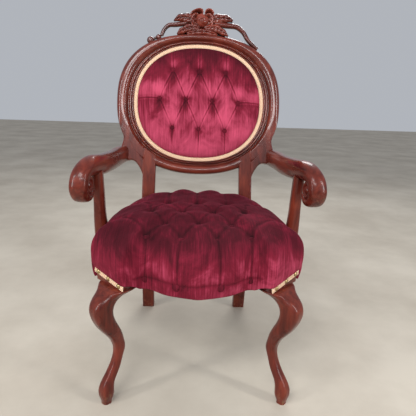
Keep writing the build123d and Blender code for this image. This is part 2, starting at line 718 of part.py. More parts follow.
# Knee gimp: a strip on the slanting face of each corner block, lower at its front end
GIMP_TILT = math.radians(KNEE_GIMP_SLOPE)
KNEE_FACE = Plane(
    origin=(CORNER_X, CORNER_Y, RAIL_BOTTOM + KNEE_GIMP_RISE),
    x_dir=(DIAGONAL * math.cos(GIMP_TILT), DIAGONAL * math.cos(GIMP_TILT), math.sin(GIMP_TILT)),
    z_dir=(DIAGONAL, -DIAGONAL, 0),
)
NAIL_SPOTS = [(-NAIL_SPACING, 0), (0, 0), (NAIL_SPACING, 0)]
with BuildPart() as knee_nails:
    with BuildSketch(KNEE_FACE.offset(GIMP_THICKNESS)):
        with Locations(*NAIL_SPOTS):
            Circle(NAIL_RADIUS)
    extrude(amount=NAIL_RADIUS / 3)
    with BuildSketch(KNEE_FACE.offset(GIMP_THICKNESS)):
        with Locations(*NAIL_SPOTS):
            Circle(NAIL_RADIUS / 4)
    extrude(amount=-NAIL_SHANK)

with BuildPart() as knee_gimp:
    with BuildSketch(KNEE_FACE):
        Rectangle(KNEE_GIMP_LENGTH, KNEE_GIMP_WIDTH)
    extrude(amount=GIMP_THICKNESS)
    add(knee_nails.part, mode=Mode.SUBTRACT)

with BuildPart() as knee_clear:
    with BuildSketch(KNEE_FACE):
        with Locations((0, KNEE_GIMP_WIDTH / 2 + CLEARANCE)):
            Rectangle(2 * CORNER_WIDTH, REACH, align=(Align.CENTER, Align.MAX))
    extrude(amount=REACH)

# Seat pad: crowned cover over the rails, with sewn tufts
SEAT_TUFTS = []
for row, columns in enumerate((SHORT_ROW, ODD_ROW, SHORT_ROW, ODD_ROW)):
    for column in columns:
        outer = row == 0 and abs(column) == SHORT_ROW[-1]
        y = TUFT_FRONT_ROW + row * TUFT_ROW_PITCH + outer * OUTER_TUFT_SETBACK
        z = RAIL_BOTTOM + SEAT_TUFT_RISES[row] - outer * OUTER_TUFT_DROP
        SEAT_TUFTS.append((column * TUFT_PITCH, y, z))
FACE_TUFT_Z = RAIL_BOTTOM + FACE_TUFT_RISE
FACE_TUFTS = []
for x in FACE_TUFT_X:
    floor = front_rail_y(x) - CLEARANCE - FACE_TUFT_DEPTH
    FACE_TUFTS.extend([(x, floor, FACE_TUFT_Z), (-x, floor, FACE_TUFT_Z)])


def pleats(spots, plane, lift, reach_across, reach_up):
    """Folds between neighbouring tufts, as V-shaped cuts that open upwards from the pit floors."""
    folds = []
    for first in spots:
        for second in spots:
            across = abs(abs(first[0] - second[0]) - reach_across / 2)
            along = second[1] - first[1]
            if across > CLEARANCE or not 0 < along < reach_up + CLEARANCE:
                continue
            start = plane.from_local_coords(Vector(*first) + Vector(0, 0, lift))
            run = plane.from_local_coords(Vector(*second) + Vector(0, 0, lift)) - start
            side = plane.z_dir.cross(run)
            with BuildPart() as fold:
                with BuildSketch(Plane(origin=start, x_dir=side, z_dir=run)):
                    mouth = [(half * PLEAT_HALF_WIDTH, PLEAT_DEPTH) for half in (1, -1)]
                    Polygon((0, 0), *mouth, align=None)
                extrude(amount=run.length)
            folds.append(fold.part)
    return folds


with BuildPart() as seat_pad:
    for rise, share, shift in SEAT_LEVELS:
        with BuildSketch(Plane.XY.offset(RAIL_BOTTOM + rise)):
            seat_plan(COVER_THICKNESS, share, shift)
    loft(ruled=True)
    with Locations(*SEAT_TUFTS):
        Cone(
            TUFT_FLOOR_RADIUS,
            TUFT_MOUTH_RADIUS,
            TUFT_DEPTH,
            align=(Align.CENTER, Align.CENTER, Align.MIN),
            mode=Mode.SUBTRACT,
        )
    seat_folds = pleats(SEAT_TUFTS, Plane.XY, SEAT_PLEAT_LIFT, TUFT_PITCH, TUFT_ROW_PITCH)
    add(seat_folds, mode=Mode.SUBTRACT)
    with BuildSketch(Plane.XY.offset(RAIL_BOTTOM - RAIL_HEIGHT)):
        seat_plan(CLEARANCE)
    extrude(amount=2 * RAIL_HEIGHT + CLEARANCE, mode=Mode.SUBTRACT)
    with BuildSketch(Plane.XY.offset(RAIL_MIDDLE)):
        seat_plan(-DECK_INSET)
    extrude(amount=DECK_Z + BURLAP_THICKNESS + CLEARANCE - RAIL_MIDDLE, mode=Mode.SUBTRACT)
    add(post_notches(), mode=Mode.SUBTRACT)
    add(knee_clear.part, mode=Mode.SUBTRACT)
    add(mirrored(knee_clear.part), mode=Mode.SUBTRACT)
    add(arm_post_form(CLEARANCE), mode=Mode.SUBTRACT)
    add(mirrored(arm_post_form(CLEARANCE)), mode=Mode.SUBTRACT)
    for spot in FACE_TUFTS:
        with Locations(Plane(origin=spot, z_dir=(0, -1, 0))):
            Cylinder(
                TUFT_FLOOR_RADIUS,
                RAIL_THICKNESS,
                align=(Align.CENTER, Align.CENTER, Align.MIN),
                mode=Mode.SUBTRACT,
            )


def button(spot, facing):
    """Covered button that stands on the floor of a tuft."""
    with BuildPart(Plane(origin=spot, z_dir=facing)) as knob:
        Cylinder(BUTTON_RADIUS, BUTTON_HEIGHT, align=(Align.CENTER, Align.CENTER, Align.MIN))
        fillet(knob.edges().sort_by(Axis(spot, facing))[-1], BUTTON_ROUND)
    return knob.part


with BuildPart() as seat_buttons:
    add([button(spot, (0, 0, 1)) for spot in SEAT_TUFTS])
    add([button(spot, (0, -1, 0)) for spot in FACE_TUFTS])

# Back upholstery: hessian on the ledge, tufted pad, gimp, and the panel behind
FABRIC_HALF_WIDTH = RABBET_HALF_WIDTH - GIMP_WIDTH
FABRIC_HALF_HEIGHT = RABBET_HALF_HEIGHT - GIMP_WIDTH
PAD_LEVEL = RABBET_LEVEL + BURLAP_THICKNESS

with BuildPart() as back_burlap:
    with BuildSketch(PANEL.offset(RABBET_LEVEL)):
        oval_face(RABBET_HALF_WIDTH - CLEARANCE, RABBET_HALF_HEIGHT - CLEARANCE, INNER_RISE)
    extrude(amount=BURLAP_THICKNESS)

with BuildPart() as back_gimp:
    with BuildSketch(PANEL.offset(PAD_LEVEL)):
        oval_face(RABBET_HALF_WIDTH - CLEARANCE, RABBET_HALF_HEIGHT - CLEARANCE, INNER_RISE)
        with BuildLine() as inside:
            oval(FABRIC_HALF_WIDTH, FABRIC_HALF_HEIGHT, INNER_RISE)
        make_face(inside.edges(), mode=Mode.SUBTRACT)
    extrude(amount=GIMP_THICKNESS)

BACK_TUFTS = []
for row, columns in enumerate(BACK_ROWS):
    for column in columns:
        BACK_TUFTS.append((column * BACK_TUFT_PITCH, BACK_TUFT_RISE + (row - 1) * BACK_TUFT_ROW))
BACK_TUFT_FLOOR = PAD_LEVEL + CLEARANCE + BACK_TUFT_LEVEL

with BuildPart() as back_pad:
    for crown, share in BACK_LEVELS:
        with BuildSketch(PANEL.offset(PAD_LEVEL + CLEARANCE + crown * BACK_CROWN)):
            oval_face(
                share * (FABRIC_HALF_WIDTH - CLEARANCE),
                share * (FABRIC_HALF_HEIGHT - CLEARANCE),
                INNER_RISE,
            )
    loft(ruled=True)
    with Locations(*[PANEL.offset(BACK_TUFT_FLOOR) * Location((x, rise, 0)) for x, rise in BACK_TUFTS]):
        Cone(
            TUFT_FLOOR_RADIUS,
            BACK_MOUTH_RADIUS,
            BACK_CROWN,
            align=(Align.CENTER, Align.CENTER, Align.MIN),
            mode=Mode.SUBTRACT,
        )
    back_spots = [(x, rise, BACK_TUFT_FLOOR) for x, rise in BACK_TUFTS]
    back_folds = pleats(back_spots, PANEL, PLEAT_LIFT, BACK_TUFT_PITCH, BACK_TUFT_ROW)
    add(back_folds, mode=Mode.SUBTRACT)

with BuildPart() as back_buttons:
    add([button(panel_point(x, rise, BACK_TUFT_FLOOR), PANEL.z_dir) for x, rise in BACK_TUFTS])

with BuildPart() as outside_back:
    with BuildSketch(PANEL.offset(-RING_BACK - OUTSIDE_BACK_THICKNESS)):
        oval_face(RABBET_HALF_WIDTH - CLEARANCE, RABBET_HALF_HEIGHT - CLEARANCE, INNER_RISE)
    extrude(amount=OUTSIDE_BACK_THICKNESS)

with BuildPart() as outside_back_gimp:
    with BuildSketch(PANEL.offset(-RING_BACK - GIMP_THICKNESS)):
        oval_face(RABBET_HALF_WIDTH + GIMP_WIDTH, RABBET_HALF_HEIGHT + GIMP_WIDTH, INNER_RISE)
        with BuildLine() as inside:
            oval(RABBET_HALF_WIDTH, RABBET_HALF_HEIGHT, INNER_RISE)
        make_face(inside.edges(), mode=Mode.SUBTRACT)
    extrude(amount=GIMP_THICKNESS)


# Joinery: dowels and screws of the right side, and the bores that take them
def oval_radius(turn, half_width, half_height, fullness=OVAL_FULLNESS):
    """Distance from the middle of an oval to its edge."""
    across = abs(math.cos(turn)) / half_width
    along = abs(math.sin(turn)) / half_height
    return (across**fullness + along**fullness) ** (-1 / fullness)


def oval_rise(x, half_width, half_height, fullness=OVAL_FULLNESS):
    """Height of an oval's edge above its middle at a distance across."""
    return half_height * (1 - (abs(x) / half_width) ** fullness) ** (1 / fullness)


def screw(start, direction):
    """Wood screw with its head at the start, and the hole that it is driven into."""
    up = (Align.CENTER, Align.CENTER, Align.MIN)
    with BuildPart(Plane(origin=start, z_dir=direction)) as shank:
        Cylinder(SCREW_RADIUS, SCREW_LENGTH, align=up)
        Cylinder(SCREW_HEAD_RADIUS, SCREW_HEAD_HEIGHT, align=up)
    with BuildPart(Plane(origin=start, z_dir=direction)) as hole:
        Cylinder(SCREW_RADIUS + DOWEL_SLACK, SCREW_LENGTH + DOWEL_SLACK, align=up)
        Cylinder(SCREW_HEAD_RADIUS + DOWEL_SLACK, SCREW_HEAD_HEIGHT, align=up)
        Cylinder(SCREW_HEAD_RADIUS + DOWEL_SLACK, SCREW_LENGTH, align=(Align.CENTER, Align.CENTER, Align.MAX))
    return shank.part, hole.part


def drilled(part, bores):
    """A piece with its bores cut."""
    with BuildPart() as piece:
        add(part)
        add(bores, mode=Mode.SUBTRACT)
    return piece.part


def both_sides(parts):
    """Right-side parts together with their left-side copies."""
    return list(parts) + [mirrored(part) for part in parts]


def pair_up(x, y):
    """Two places one above the other on the middle of the rails."""
    return [(x, y, RAIL_MIDDLE + half * DOWEL_SPREAD / 2) for half in (1, -1)]


POST_SHIFT = (POST_TOP.Z - RAIL_MIDDLE) * math.tan(SPLAY)
leg_front_pins, leg_front_bores = dowels(
    pair_up(CORNER_FRONT[0], RAIL_END_Y + RAIL_THICKNESS / 2), (1, 0, 0), DOWEL_LENGTH
)
leg_side_pins, leg_side_bores = dowels(
    pair_up(CORNER_SIDE[0] - RAIL_THICKNESS / 2, SIDE_JOINT_Y), (0, 1, 0), DOWEL_LENGTH
)
post_side_pins, post_side_bores = dowels(
    pair_up(REAR_CORNER_X - RAIL_THICKNESS / 2, POST_SEAT_FRONT), (0, 1, 0), DOWEL_LENGTH
)
post_rear_pins, post_rear_bores = dowels(
    pair_up(POST_X - POST_WIDTH / 2 + POST_SHIFT, SPRING_BACK), (1, 0, 0), DOWEL_LENGTH
)

RING_TURN = math.radians(RING_JOINT_ANGLE)
RING_PIN_LEVEL = (RABBET_LEVEL - RING_BACK) / 2
ring_outer = oval_radius(RING_TURN, RING_HALF_WIDTH, RING_HALF_HEIGHT, RING_FULLNESS)
ring_inner = oval_radius(RING_TURN, RABBET_HALF_WIDTH - LEDGE_WIDTH, RABBET_HALF_HEIGHT - LEDGE_WIDTH)
ring_middle = (ring_outer + ring_inner) / 2
ring_spots = []
for half in (1, -1):
    out = ring_middle + half * RING_DOWEL_SPREAD / 2
    ring_spots.append(panel_point(out * math.cos(RING_TURN), out * math.sin(RING_TURN), RING_PIN_LEVEL))
ring_along = PANEL.x_dir * -math.sin(RING_TURN) + PANEL.y_dir * math.cos(RING_TURN)
ring_pins, ring_bores = dowels(ring_spots, ring_along, DOWEL_LENGTH)

post_spots = []
for half in (1, -1):
    x = POST_X + half * POST_WIDTH / 4
    rise = oval_rise(x, GROOVE_HALF_WIDTH + POST_COPE, GROOVE_HALF_HEIGHT + POST_COPE)
    post_spots.append(panel_point(x, INNER_RISE - rise, RING_PIN_LEVEL))
post_pins, post_bores = dowels(post_spots, PANEL.y_dir, SMALL_DOWEL_LENGTH)

arm_spots = [ARM_ROOT + Vector(0, 0, half * EAR_HEIGHT / 4) for half in (1, -1)]
arm_root_pins, arm_root_bores = dowels(arm_spots, ARM_HEADING, SMALL_DOWEL_LENGTH)
arm_post_head = ARM_POST_STATIONS[-1]
arm_post_spot = (arm_post_head[1], arm_post_head[2], ARM_POST_TOP - ARM_POST_SINK)
arm_post_pins, arm_post_bores = dowels([arm_post_spot], (0, 0, 1), SMALL_DOWEL_LENGTH)

crest_spots = []
for x in (ROSE_X - CREST_DOWEL_X, ROSE_X + CREST_DOWEL_X):
    crest_spots.append(panel_point(x, oval_rise(x, RING_HALF_WIDTH, RING_HALF_HEIGHT, RING_FULLNESS)))
crest_pins, crest_bores = dowels(crest_spots, PANEL.y_dir, SMALL_DOWEL_LENGTH)

arm_screws = []
arm_holes = []
for spot in pair_up(SIDE_ARM_X - RAIL_THICKNESS + SCREW_SINK, SIDE_ARM_Y):
    body, hole = screw(spot, (1, 0, 0))
    arm_screws.append(body)
    arm_holes.append(hole)


def glue_block(corner, on_first_rail, on_second_rail, others):
    """Triangular block in a corner of the seat frame, with the screw through its long face."""
    face = Vector(*on_second_rail) - Vector(*on_first_rail)
    middle = (Vector(*on_second_rail) + Vector(*on_first_rail)) / 2
    inward = Vector(0, 0, 1).cross(face).normalized()
    if inward.dot(Vector(*corner) - middle) < 0:
        inward = -inward
    start = middle + inward * SCREW_SINK + Vector(0, 0, RAIL_MIDDLE)
    body, hole = screw(start, inward)
    with BuildPart() as block:
        with BuildSketch(Plane.XY.offset(RAIL_MIDDLE - BLOCK_HEIGHT / 2)):
            Polygon(corner, on_first_rail, on_second_rail, align=None)
        extrude(amount=BLOCK_HEIGHT)
        add(others, mode=Mode.SUBTRACT)
        add(hole, mode=Mode.SUBTRACT)
    return block.part, body, hole


TAPER_SHARE = (POST_SEAT_FRONT - BLOCK_LEG - SIDE_TAPER_Y) / (POST_SEAT_FRONT - SIDE_TAPER_Y)
front_block, front_block_screw, front_block_hole = glue_block(
    (CORNER_X, CORNER_Y),
    (CORNER_FRONT[0] - BLOCK_LEG, RAIL_END_Y + BLOCK_SEAT * RAIL_THICKNESS),
    (SIDE_WIDE_X - RAIL_THICKNESS / 2, SIDE_JOINT_Y + BLOCK_LEG),
    [front_leg.part, front_rail.part, side_rail.part],
)
TAPER_X = SIDE_TAPER_X + TAPER_SHARE * (REAR_CORNER_X - SIDE_TAPER_X)
rear_block, rear_block_screw, rear_block_hole = glue_block(
    (POST_X + POST_SHIFT, POST_SEAT_FRONT + POST_SEAT_DEPTH / 4),
    (POST_X - POST_WIDTH / 2 - BLOCK_LEG, REAR_RAIL_BACK - BLOCK_SEAT * RAIL_THICKNESS),
    (TAPER_X - RAIL_THICKNESS / 2, POST_SEAT_FRONT - BLOCK_LEG),
    [rear_post.part, rear_rail.part, side_rail.part],
)

with BuildPart() as corner_blocks:
    add(both_sides([front_block, rear_block]))

# Finished pieces
for name, part, bores in (
    ("front_leg", front_leg.part, leg_front_bores + leg_side_bores + [front_block_hole] + [knee_nails.part]),
    ("rear_post", rear_post.part, post_side_bores + post_rear_bores + post_bores + [rear_block_hole]),
    ("side_rail", side_rail.part, leg_side_bores + post_side_bores + arm_holes),
    ("back_stile", stile, ring_bores + post_bores + arm_root_bores),
    ("arm", arm.part, arm_root_bores + arm_post_bores),
    ("arm_post", arm_post.part, arm_post_bores + arm_holes),
):
    finished = drilled(part, bores)
    save(finished, f"{name}_right")
    save(mirrored(finished), f"{name}_left")

save(drilled(front_rail.part, both_sides(leg_front_bores)), "front_rail")
save(drilled(rear_rail.part, both_sides(post_rear_bores)), "rear_rail")
save(drilled(top_rail, both_sides(ring_bores) + crest_bores), "back_top_rail")
save(drilled(bottom_rail, both_sides(post_bores)), "back_bottom_rail")
save(drilled(crest.part, crest_bores), "crest_carving")
save(corner_blocks.part, "corner_blocks")

for name, group in (
    ("rail_dowels", both_sides(leg_front_pins + leg_side_pins + post_side_pins + post_rear_pins)),
    ("ring_dowels", both_sides(ring_pins)),
    ("post_dowels", both_sides(post_pins)),
    ("arm_dowels", both_sides(arm_root_pins + arm_post_pins)),
    ("crest_dowels", crest_pins),
    ("arm_post_screws", both_sides(arm_screws)),
    ("corner_block_screws", both_sides([front_block_screw, rear_block_screw])),
    ("gimp_nails", both_sides([knee_nails.part])),
):
    with BuildPart() as fasteners:
        add(group)
    save(fasteners.part, name)

save(knee_gimp.part, "knee_gimp_right")
save(mirrored(knee_gimp.part), "knee_gimp_left")
for name, builder in (
    ("seat_springs", seat_springs),
    ("spring_clips", spring_clips),
    ("seat_burlap", seat_burlap),
    ("dust_cover", dust_cover),
    ("seat_pad", seat_pad),
    ("seat_buttons", seat_buttons),
    ("back_burlap", back_burlap),
    ("back_gimp", back_gimp),
    ("back_pad", back_pad),
    ("back_buttons", back_buttons),
    ("outside_back", outside_back),
    ("outside_back_gimp", outside_back_gimp),
):
    save(builder.part, name)
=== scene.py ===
import math

import bmesh
import bpy
import numpy as np
from bpy.props import FloatProperty, FloatVectorProperty, PointerProperty
from mathutils import Matrix, Vector, noise


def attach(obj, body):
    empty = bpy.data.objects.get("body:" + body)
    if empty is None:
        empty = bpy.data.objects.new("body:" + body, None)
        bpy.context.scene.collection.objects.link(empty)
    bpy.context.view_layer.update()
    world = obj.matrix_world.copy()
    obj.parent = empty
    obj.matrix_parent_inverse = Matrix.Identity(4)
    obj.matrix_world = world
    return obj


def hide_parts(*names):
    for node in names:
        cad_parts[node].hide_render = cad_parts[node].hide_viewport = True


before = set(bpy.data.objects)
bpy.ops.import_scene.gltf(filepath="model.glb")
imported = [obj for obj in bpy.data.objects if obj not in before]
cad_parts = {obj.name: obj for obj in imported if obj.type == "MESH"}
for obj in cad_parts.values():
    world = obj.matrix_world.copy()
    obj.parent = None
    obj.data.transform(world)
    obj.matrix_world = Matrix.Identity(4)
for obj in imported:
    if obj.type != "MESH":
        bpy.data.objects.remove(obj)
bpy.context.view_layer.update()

bl_info = {
    "name": "Tufted oval-back armchair",
    "version": (1, 0, 0),
    "blender": (4, 5, 0),
    "location": "View3D > Sidebar > Armchair",
    "description": "Carved, polished and upholstered pieces of an oval-back armchair",
    "category": "Object",
}

MM = 0.001
DIAGONAL = math.sqrt(0.5)
HANDS = ((1, "right"), (-1, "left"))
FAR_OFF = 1e9
WELD = 1e-6  # vertices closer than this, in metres, are one
FLAT_END_SIDES = 6  # a face with more sides than this is the flat end of a piece

# Plane of the back: its middle, its lean and the two directions that follow
BACK_MIDDLE = Vector((0.0, 248.7, 748.0))
LEAN = math.radians(12.6)
BACK_UP = Vector((0.0, math.sin(LEAN), math.cos(LEAN)))
BACK_FRONT = Vector((0.0, -math.cos(LEAN), math.sin(LEAN)))
OVAL_FULLNESS = 2.24
OVAL_RISE = 4.0
RING_FULLNESS = 2.5
# Ovals of the ring from the outside in: half width, half height, rise of the middle, fullness
OVALS = (
    (271.5, 231.5, 0.0, RING_FULLNESS),
    (236.0, 207.0, OVAL_RISE, OVAL_FULLNESS),
    (230.0, 201.0, OVAL_RISE, OVAL_FULLNESS),
    (214.0, 192.0, OVAL_RISE, OVAL_FULLNESS),
    (186.0, 164.0, OVAL_RISE, OVAL_FULLNESS),
)
# Moulding of the ring: lane between the ovals above, and level in front of the middle plane
RING_PROFILE = (
    (4.0, -8.0), (4.0, -13.6), (3.94, -15.1), (3.7, -15.4), (3.2, -15.4), (0.9, -15.4), (0.42, -15.4),
    (0.22, -14.8), (0.1, -12.8), (0.03, -8.0), (0.0, -2.0),
    (0.03, 5.0), (0.1, 10.0), (0.22, 13.6), (0.38, 15.6), (0.52, 16.0), (0.66, 15.3),
    (0.8, 13.2), (0.91, 10.0), (1.0, 6.8), (1.2, 3.8), (1.5, 2.8), (1.8, 3.8),
    (1.97, 7.4), (2.05, 11.2), (2.18, 13.4), (2.34, 13.6), (2.46, 11.6), (2.53, 7.6),
    (2.6, 10.2), (2.7, 12.4), (2.83, 12.2), (2.94, 10.2), (3.0, 7.0), (3.0, 4.2), (4.0, 4.0),
)
TOP_RAIL_SPAN = (38.0, 142.0)
RIGHT_STILE_SPAN = (-51.4, 38.0)
LEFT_STILE_SPAN = (142.0, 231.4)
BOTTOM_RAIL_SPAN = (-128.6, -51.4)

# Arms: x, y, z, plan heading, pitch below level, width, height
ARM_STATIONS = (
    (233.0, 221.6, 583.0, 45.0, 0.0, 38.0, 50.0),
    (244.0, 212.0, 584.0, 38.0, 0.0, 42.0, 54.0),
    (256.0, 158.0, 582.0, 9.0, 0.0, 40.0, 57.0),
    (262.0, 60.0, 581.0, 6.0, -2.0, 39.0, 57.0),
    (272.0, -40.0, 585.0, 10.0, -4.0, 41.0, 56.0),
    (285.0, -105.0, 591.0, 12.0, 6.0, 45.0, 50.0),
    (298.0, -148.0, 575.0, 11.0, 52.0, 47.0, 40.0),
    (303.0, -163.0, 543.0, 9.0, 95.0, 47.0, 33.0),
    (301.0, -150.0, 517.0, 9.0, 148.0, 46.0, 27.0),
    (297.0, -126.0, 514.0, 9.0, 205.0, 44.0, 22.0),
    (294.0, -114.0, 532.0, 9.0, 265.0, 42.0, 16.0),
)
ARM_FULLNESS = 2.7

# Eye of the scroll: its middle and heading, and its section as radius and reach along its axis
SCROLL_EYE = Vector((298.5, -137.0, 546.0))
SCROLL_HEADING = math.radians(9.0)
SCROLL_PROFILE = (
    (0.5, 23.5), (5.0, 23.0), (8.0, 21.0), (9.5, 18.5), (11.5, 18.0),
    (13.5, 20.0), (17.0, 21.5), (21.0, 20.8), (24.0, 18.0),
)

# Seat: plan of the cover, right half from the middle of the front to the middle of the back
SEAT_BOTTOM = 318.0
SEAT_MIDDLE_Y = -60.0
FRONT_PLAN = ((0.0, -322.0), (70.0, -301.0), (128.0, -263.0), (177.8, -291.0))
SIDE_PLAN = ((263.0, -206.0), (264.0, -120.0), (257.0, -40.0), (231.0, 60.0), (194.0, 146.0))
REAR_PLAN = ((186.0, 154.0), (146.0, 156.0), (132.0, 164.0), (130.0, 186.0), (128.0, 208.0), (60.0, 211.0))
REAR_MIDDLE = (0.0, 211.0)
# Section of the cover: height above its lower edge, share of the plan, shift of its middle
SEAT_LEVELS = (
    (0.0, 1.0, 0.0), (20.0, 1.017, 0.0), (42.0, 1.024, 0.0), (66.0, 1.02, 0.0), (92.0, 0.998, 0.0),
    (113.0, 0.95, 5.0), (130.0, 0.86, 22.0), (143.0, 0.735, 48.0), (151.0, 0.56, 74.0),
    (155.0, 0.3, 92.0), (157.0, 0.0, 100.0),
)
CROWN_SHARE = 0.997  # the last row of a cushion stops just short of its crown

BUTTON_PITCH = 43.0  # half the width of a diamond
# Rows of seat buttons from the front: steps across, y, z
SEAT_ROWS = (
    ((-1, 1), -250.0, 440.0),
    ((-3, 3), -222.0, 436.0),
    ((-2, 0, 2), -165.0, 449.0),
    ((-3, -1, 1, 3), -80.0, 458.0),
    ((-2, 0, 2), 5.0, 460.0),
)
SEAT_BUTTONS = [(BUTTON_PITCH * k, y, z) for steps, y, z in SEAT_ROWS for k in steps]
# Buttons of the front face: place and facing
FACE_BUTTONS = [
    (Vector((side * x, y, 343.0)), Vector((side * turn, -1.0, 0.1)).normalized())
    for x, y, turn in ((52.0, -306.5, 0.4), (127.0, -260.0, 0.0)) for side in (1, -1)
]
BACK_TILT = 0.03  # the rows of the back run slightly downhill to the right
BACK_TOP_ROW, BACK_MIDDLE_ROW, BACK_LOW_ROW = (
    [(BUTTON_PITCH * k, rise - BUTTON_PITCH * k * BACK_TILT) for k in steps]
    for rise, steps in ((104.0, (-2, 0, 2)), (10.0, (-3, -1, 1, 3)), (-84.0, (-2, 0, 2)))
)
BACK_BUTTONS = BACK_TOP_ROW + BACK_MIDDLE_ROW + BACK_LOW_ROW
BACK_BUTTON_LEVEL = 14.8
# Section of the back cushion: share of its height, share of the oval
BACK_LEVELS = ((0.0, 1.0), (0.25, 0.985), (0.5, 0.93), (0.72, 0.82), (0.88, 0.64), (0.97, 0.42), (1.0, 0.0))
BUTTON_GATHERS = 12
NEXT_BUTTON = 50.0  # a fold joins buttons that stand less than this apart, across
DENT_BLEND = 2.2  # how sharply the deepest of several dents wins

# Knee strips: middle of the right one, its run and its facing
KNEE_MIDDLE = Vector((216.0, -244.0, 336.0))
KNEE_TILT = math.radians(9.0)
KNEE_RUN = Vector((DIAGONAL * math.cos(KNEE_TILT), DIAGONAL * math.cos(KNEE_TILT), math.sin(KNEE_TILT)))
KNEE_FACING = Vector((DIAGONAL, -DIAGONAL, 0.0))


def linear(code):
    """Linear colour of an sRGB hex code."""
    parts = [int(code[i:i + 2], 16) / 255.0 for i in (1, 3, 5)]
    return tuple(c / 12.92 if c <= 0.04045 else ((c + 0.055) / 1.055) ** 2.4 for c in parts)


def tint(name, description, code):
    """Colour that a user may change, with its hex code as the default."""
    return FloatVectorProperty(name=name, description=description, subtype="COLOR", default=linear(code))


class ArmchairCover(bpy.types.PropertyGroup):
    """Sizes and colours of the upholstery."""

    pleat_depth: FloatProperty(
        name="Pleat depth",
        description="Depth of the folds between the buttons",
        default=0.005,
        unit="LENGTH",
    )
    braid_pitch: FloatProperty(
        name="Braid pitch",
        description="Distance from one twist of the gimp to the next",
        default=0.0055,
        unit="LENGTH",
    )
    velvet: tint("Velvet", "Body colour of the velvet", "#74182C")
    # The brushed colour also serves as the colour of the painted highlights and sheen on the cushions
    brushed: tint("Brushed velvet", "Colour where the pile lies over", "#C24A66")
    braid: tint("Gimp braid", "Colour of the gimp braid", "#DDB088")


class ArmchairWood(bpy.types.PropertyGroup):
    """Colours of the show wood."""

    body: tint("Mahogany", "Middle colour of the stained wood", "#62261C")
    dark: tint("Dark grain", "Colour of the dark grain", "#35110C")
    light: tint("Light grain", "Colour of the light grain", "#863A28")


def panel(across, rise, forward):
    """Point of the plane of the back, in metres."""
    return (BACK_MIDDLE + Vector((across, 0.0, 0.0)) + BACK_UP * rise + BACK_FRONT * forward) * MM


def oval_point(turn, half_width, half_height, middle, fullness=OVAL_FULLNESS):
    """Point of an oval in the plane of the back."""
    across = abs(math.cos(turn)) / half_width
    along = abs(math.sin(turn)) / half_height
    radius = (across**fullness + along**fullness) ** (-1 / fullness)
    return radius * math.cos(turn), middle + radius * math.sin(turn)


def knee_point(flip, along, proud):
    """Point on a knee strip, in metres; flip mirrors it to the left."""
    return (KNEE_MIDDLE + KNEE_RUN * along + KNEE_FACING * proud) * flip * MM


def circle(count):
    """Cosine and sine of even turns round a circle."""
    turns = [2 * math.pi * k / count for k in range(count)]
    return [(math.cos(turn), math.sin(turn)) for turn in turns]


def through(points, steps, closed=False):
    """Smooth line through a list of tuples."""
    count = len(points)
    line = []
    for i in range(count if closed else count - 1):
        if closed:
            a, b, c, d = (points[(i + k) % count] for k in (-1, 0, 1, 2))
        else:
            a, b, c, d = (points[min(max(i + k, 0), count - 1)] for k in (-1, 0, 1, 2))
        for s in range(steps):
            t = s / steps
            line.append(tuple(
                q + 0.5 * t * (r - p + t * (2 * p - 5 * q + 4 * r - w + t * (3 * (q - r) + w - p)))
                for p, q, r, w in zip(a, b, c, d)
            ))
    if not closed:
        line.append(tuple(points[-1]))
    return line


def turn_outwards(mesh, weld=0.0):
    """Turn the faces outwards, after vertices within the weld distance are merged."""
    form = bmesh.new()
    form.from_mesh(mesh)
    if weld:
        bmesh.ops.remove_doubles(form, verts=form.verts, dist=weld)
    bmesh.ops.recalc_face_normals(form, faces=form.faces)
    form.to_mesh(mesh)
    form.free()


def crease_caps(mesh):
    """Keep the edges of flat ends crisp."""
    sharp = mesh.attributes.new("sharp_edge", "BOOLEAN", "EDGE")
    for face in mesh.polygons:
        if face.loop_total > FLAT_END_SIDES:
            for index in face.loop_indices:
                sharp.data[mesh.loops[index].edge_index].value = True


def smooth_piece(name, mesh):
    """Smooth object of a mesh, at the origin."""
    mesh.polygons.foreach_set("use_smooth", [True] * len(mesh.polygons))
    piece = bpy.data.objects.new(name, mesh)
    bpy.context.scene.collection.objects.link(piece)
    return piece


def settle(piece, slot, *nodes):
    """Fix a finished piece to the chair in place of its solids."""
    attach(piece, "root")
    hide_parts(*nodes)
    return piece


class Form:
    """Vertices and faces that are gathered before they become a mesh."""

    def __init__(self):
        self.verts = []
        self.faces = []

    def loft(self, rings, closed=False):
        """Skin over rings of equal length, capped unless it closes on itself."""
        base = len(self.verts)
        size = len(rings[0])
        for ring in rings:
            self.verts.extend(ring)
        last = len(rings)
        for i in range(last if closed else last - 1):
            for k in range(size):
                a = base + i * size + k
                b = base + i * size + (k + 1) % size
                c = base + ((i + 1) % last) * size + (k + 1) % size
                d = base + ((i + 1) % last) * size + k
                self.faces.append((a, b, c, d))
        if not closed:
            self.faces.append(tuple(base + k for k in range(size)))
            self.faces.append(tuple(base + (last - 1) * size + k for k in range(size)))

    def board(self, outline, levels):
        """Flat board in the plane of the back; levels give how far forward and how far drawn in."""
        area = sum(a[0] * b[1] - b[0] * a[1] for a, b in zip(outline, outline[1:] + outline[:1]))
        hand = math.copysign(1.0, area)
        rings = []
        for forward, inset in levels:
            ring = []
            for i, point in enumerate(outline):
                here = Vector(point)
                before = (here - Vector(outline[i - 1])).normalized()
                after = (Vector(outline[(i + 1) % len(outline)]) - here).normalized()
                # Both edges that meet at the point move in by the same distance
                miter = (before + after) / (1.0 + before.dot(after)) * hand * inset
                ring.append(panel(point[0] - miter.y, point[1] + miter.x, forward))
            rings.append(ring)
        self.loft(rings)

    def mesh(self, name, material):
        """Welded piece with its faces outwards and its flat ends crisp."""
        mesh = bpy.data.meshes.new(name)
        mesh.from_pydata([tuple(v) for v in self.verts], [], self.faces)
        turn_outwards(mesh, WELD)
        mesh.materials.append(material)
        crease_caps(mesh)
        return smooth_piece(name, mesh)


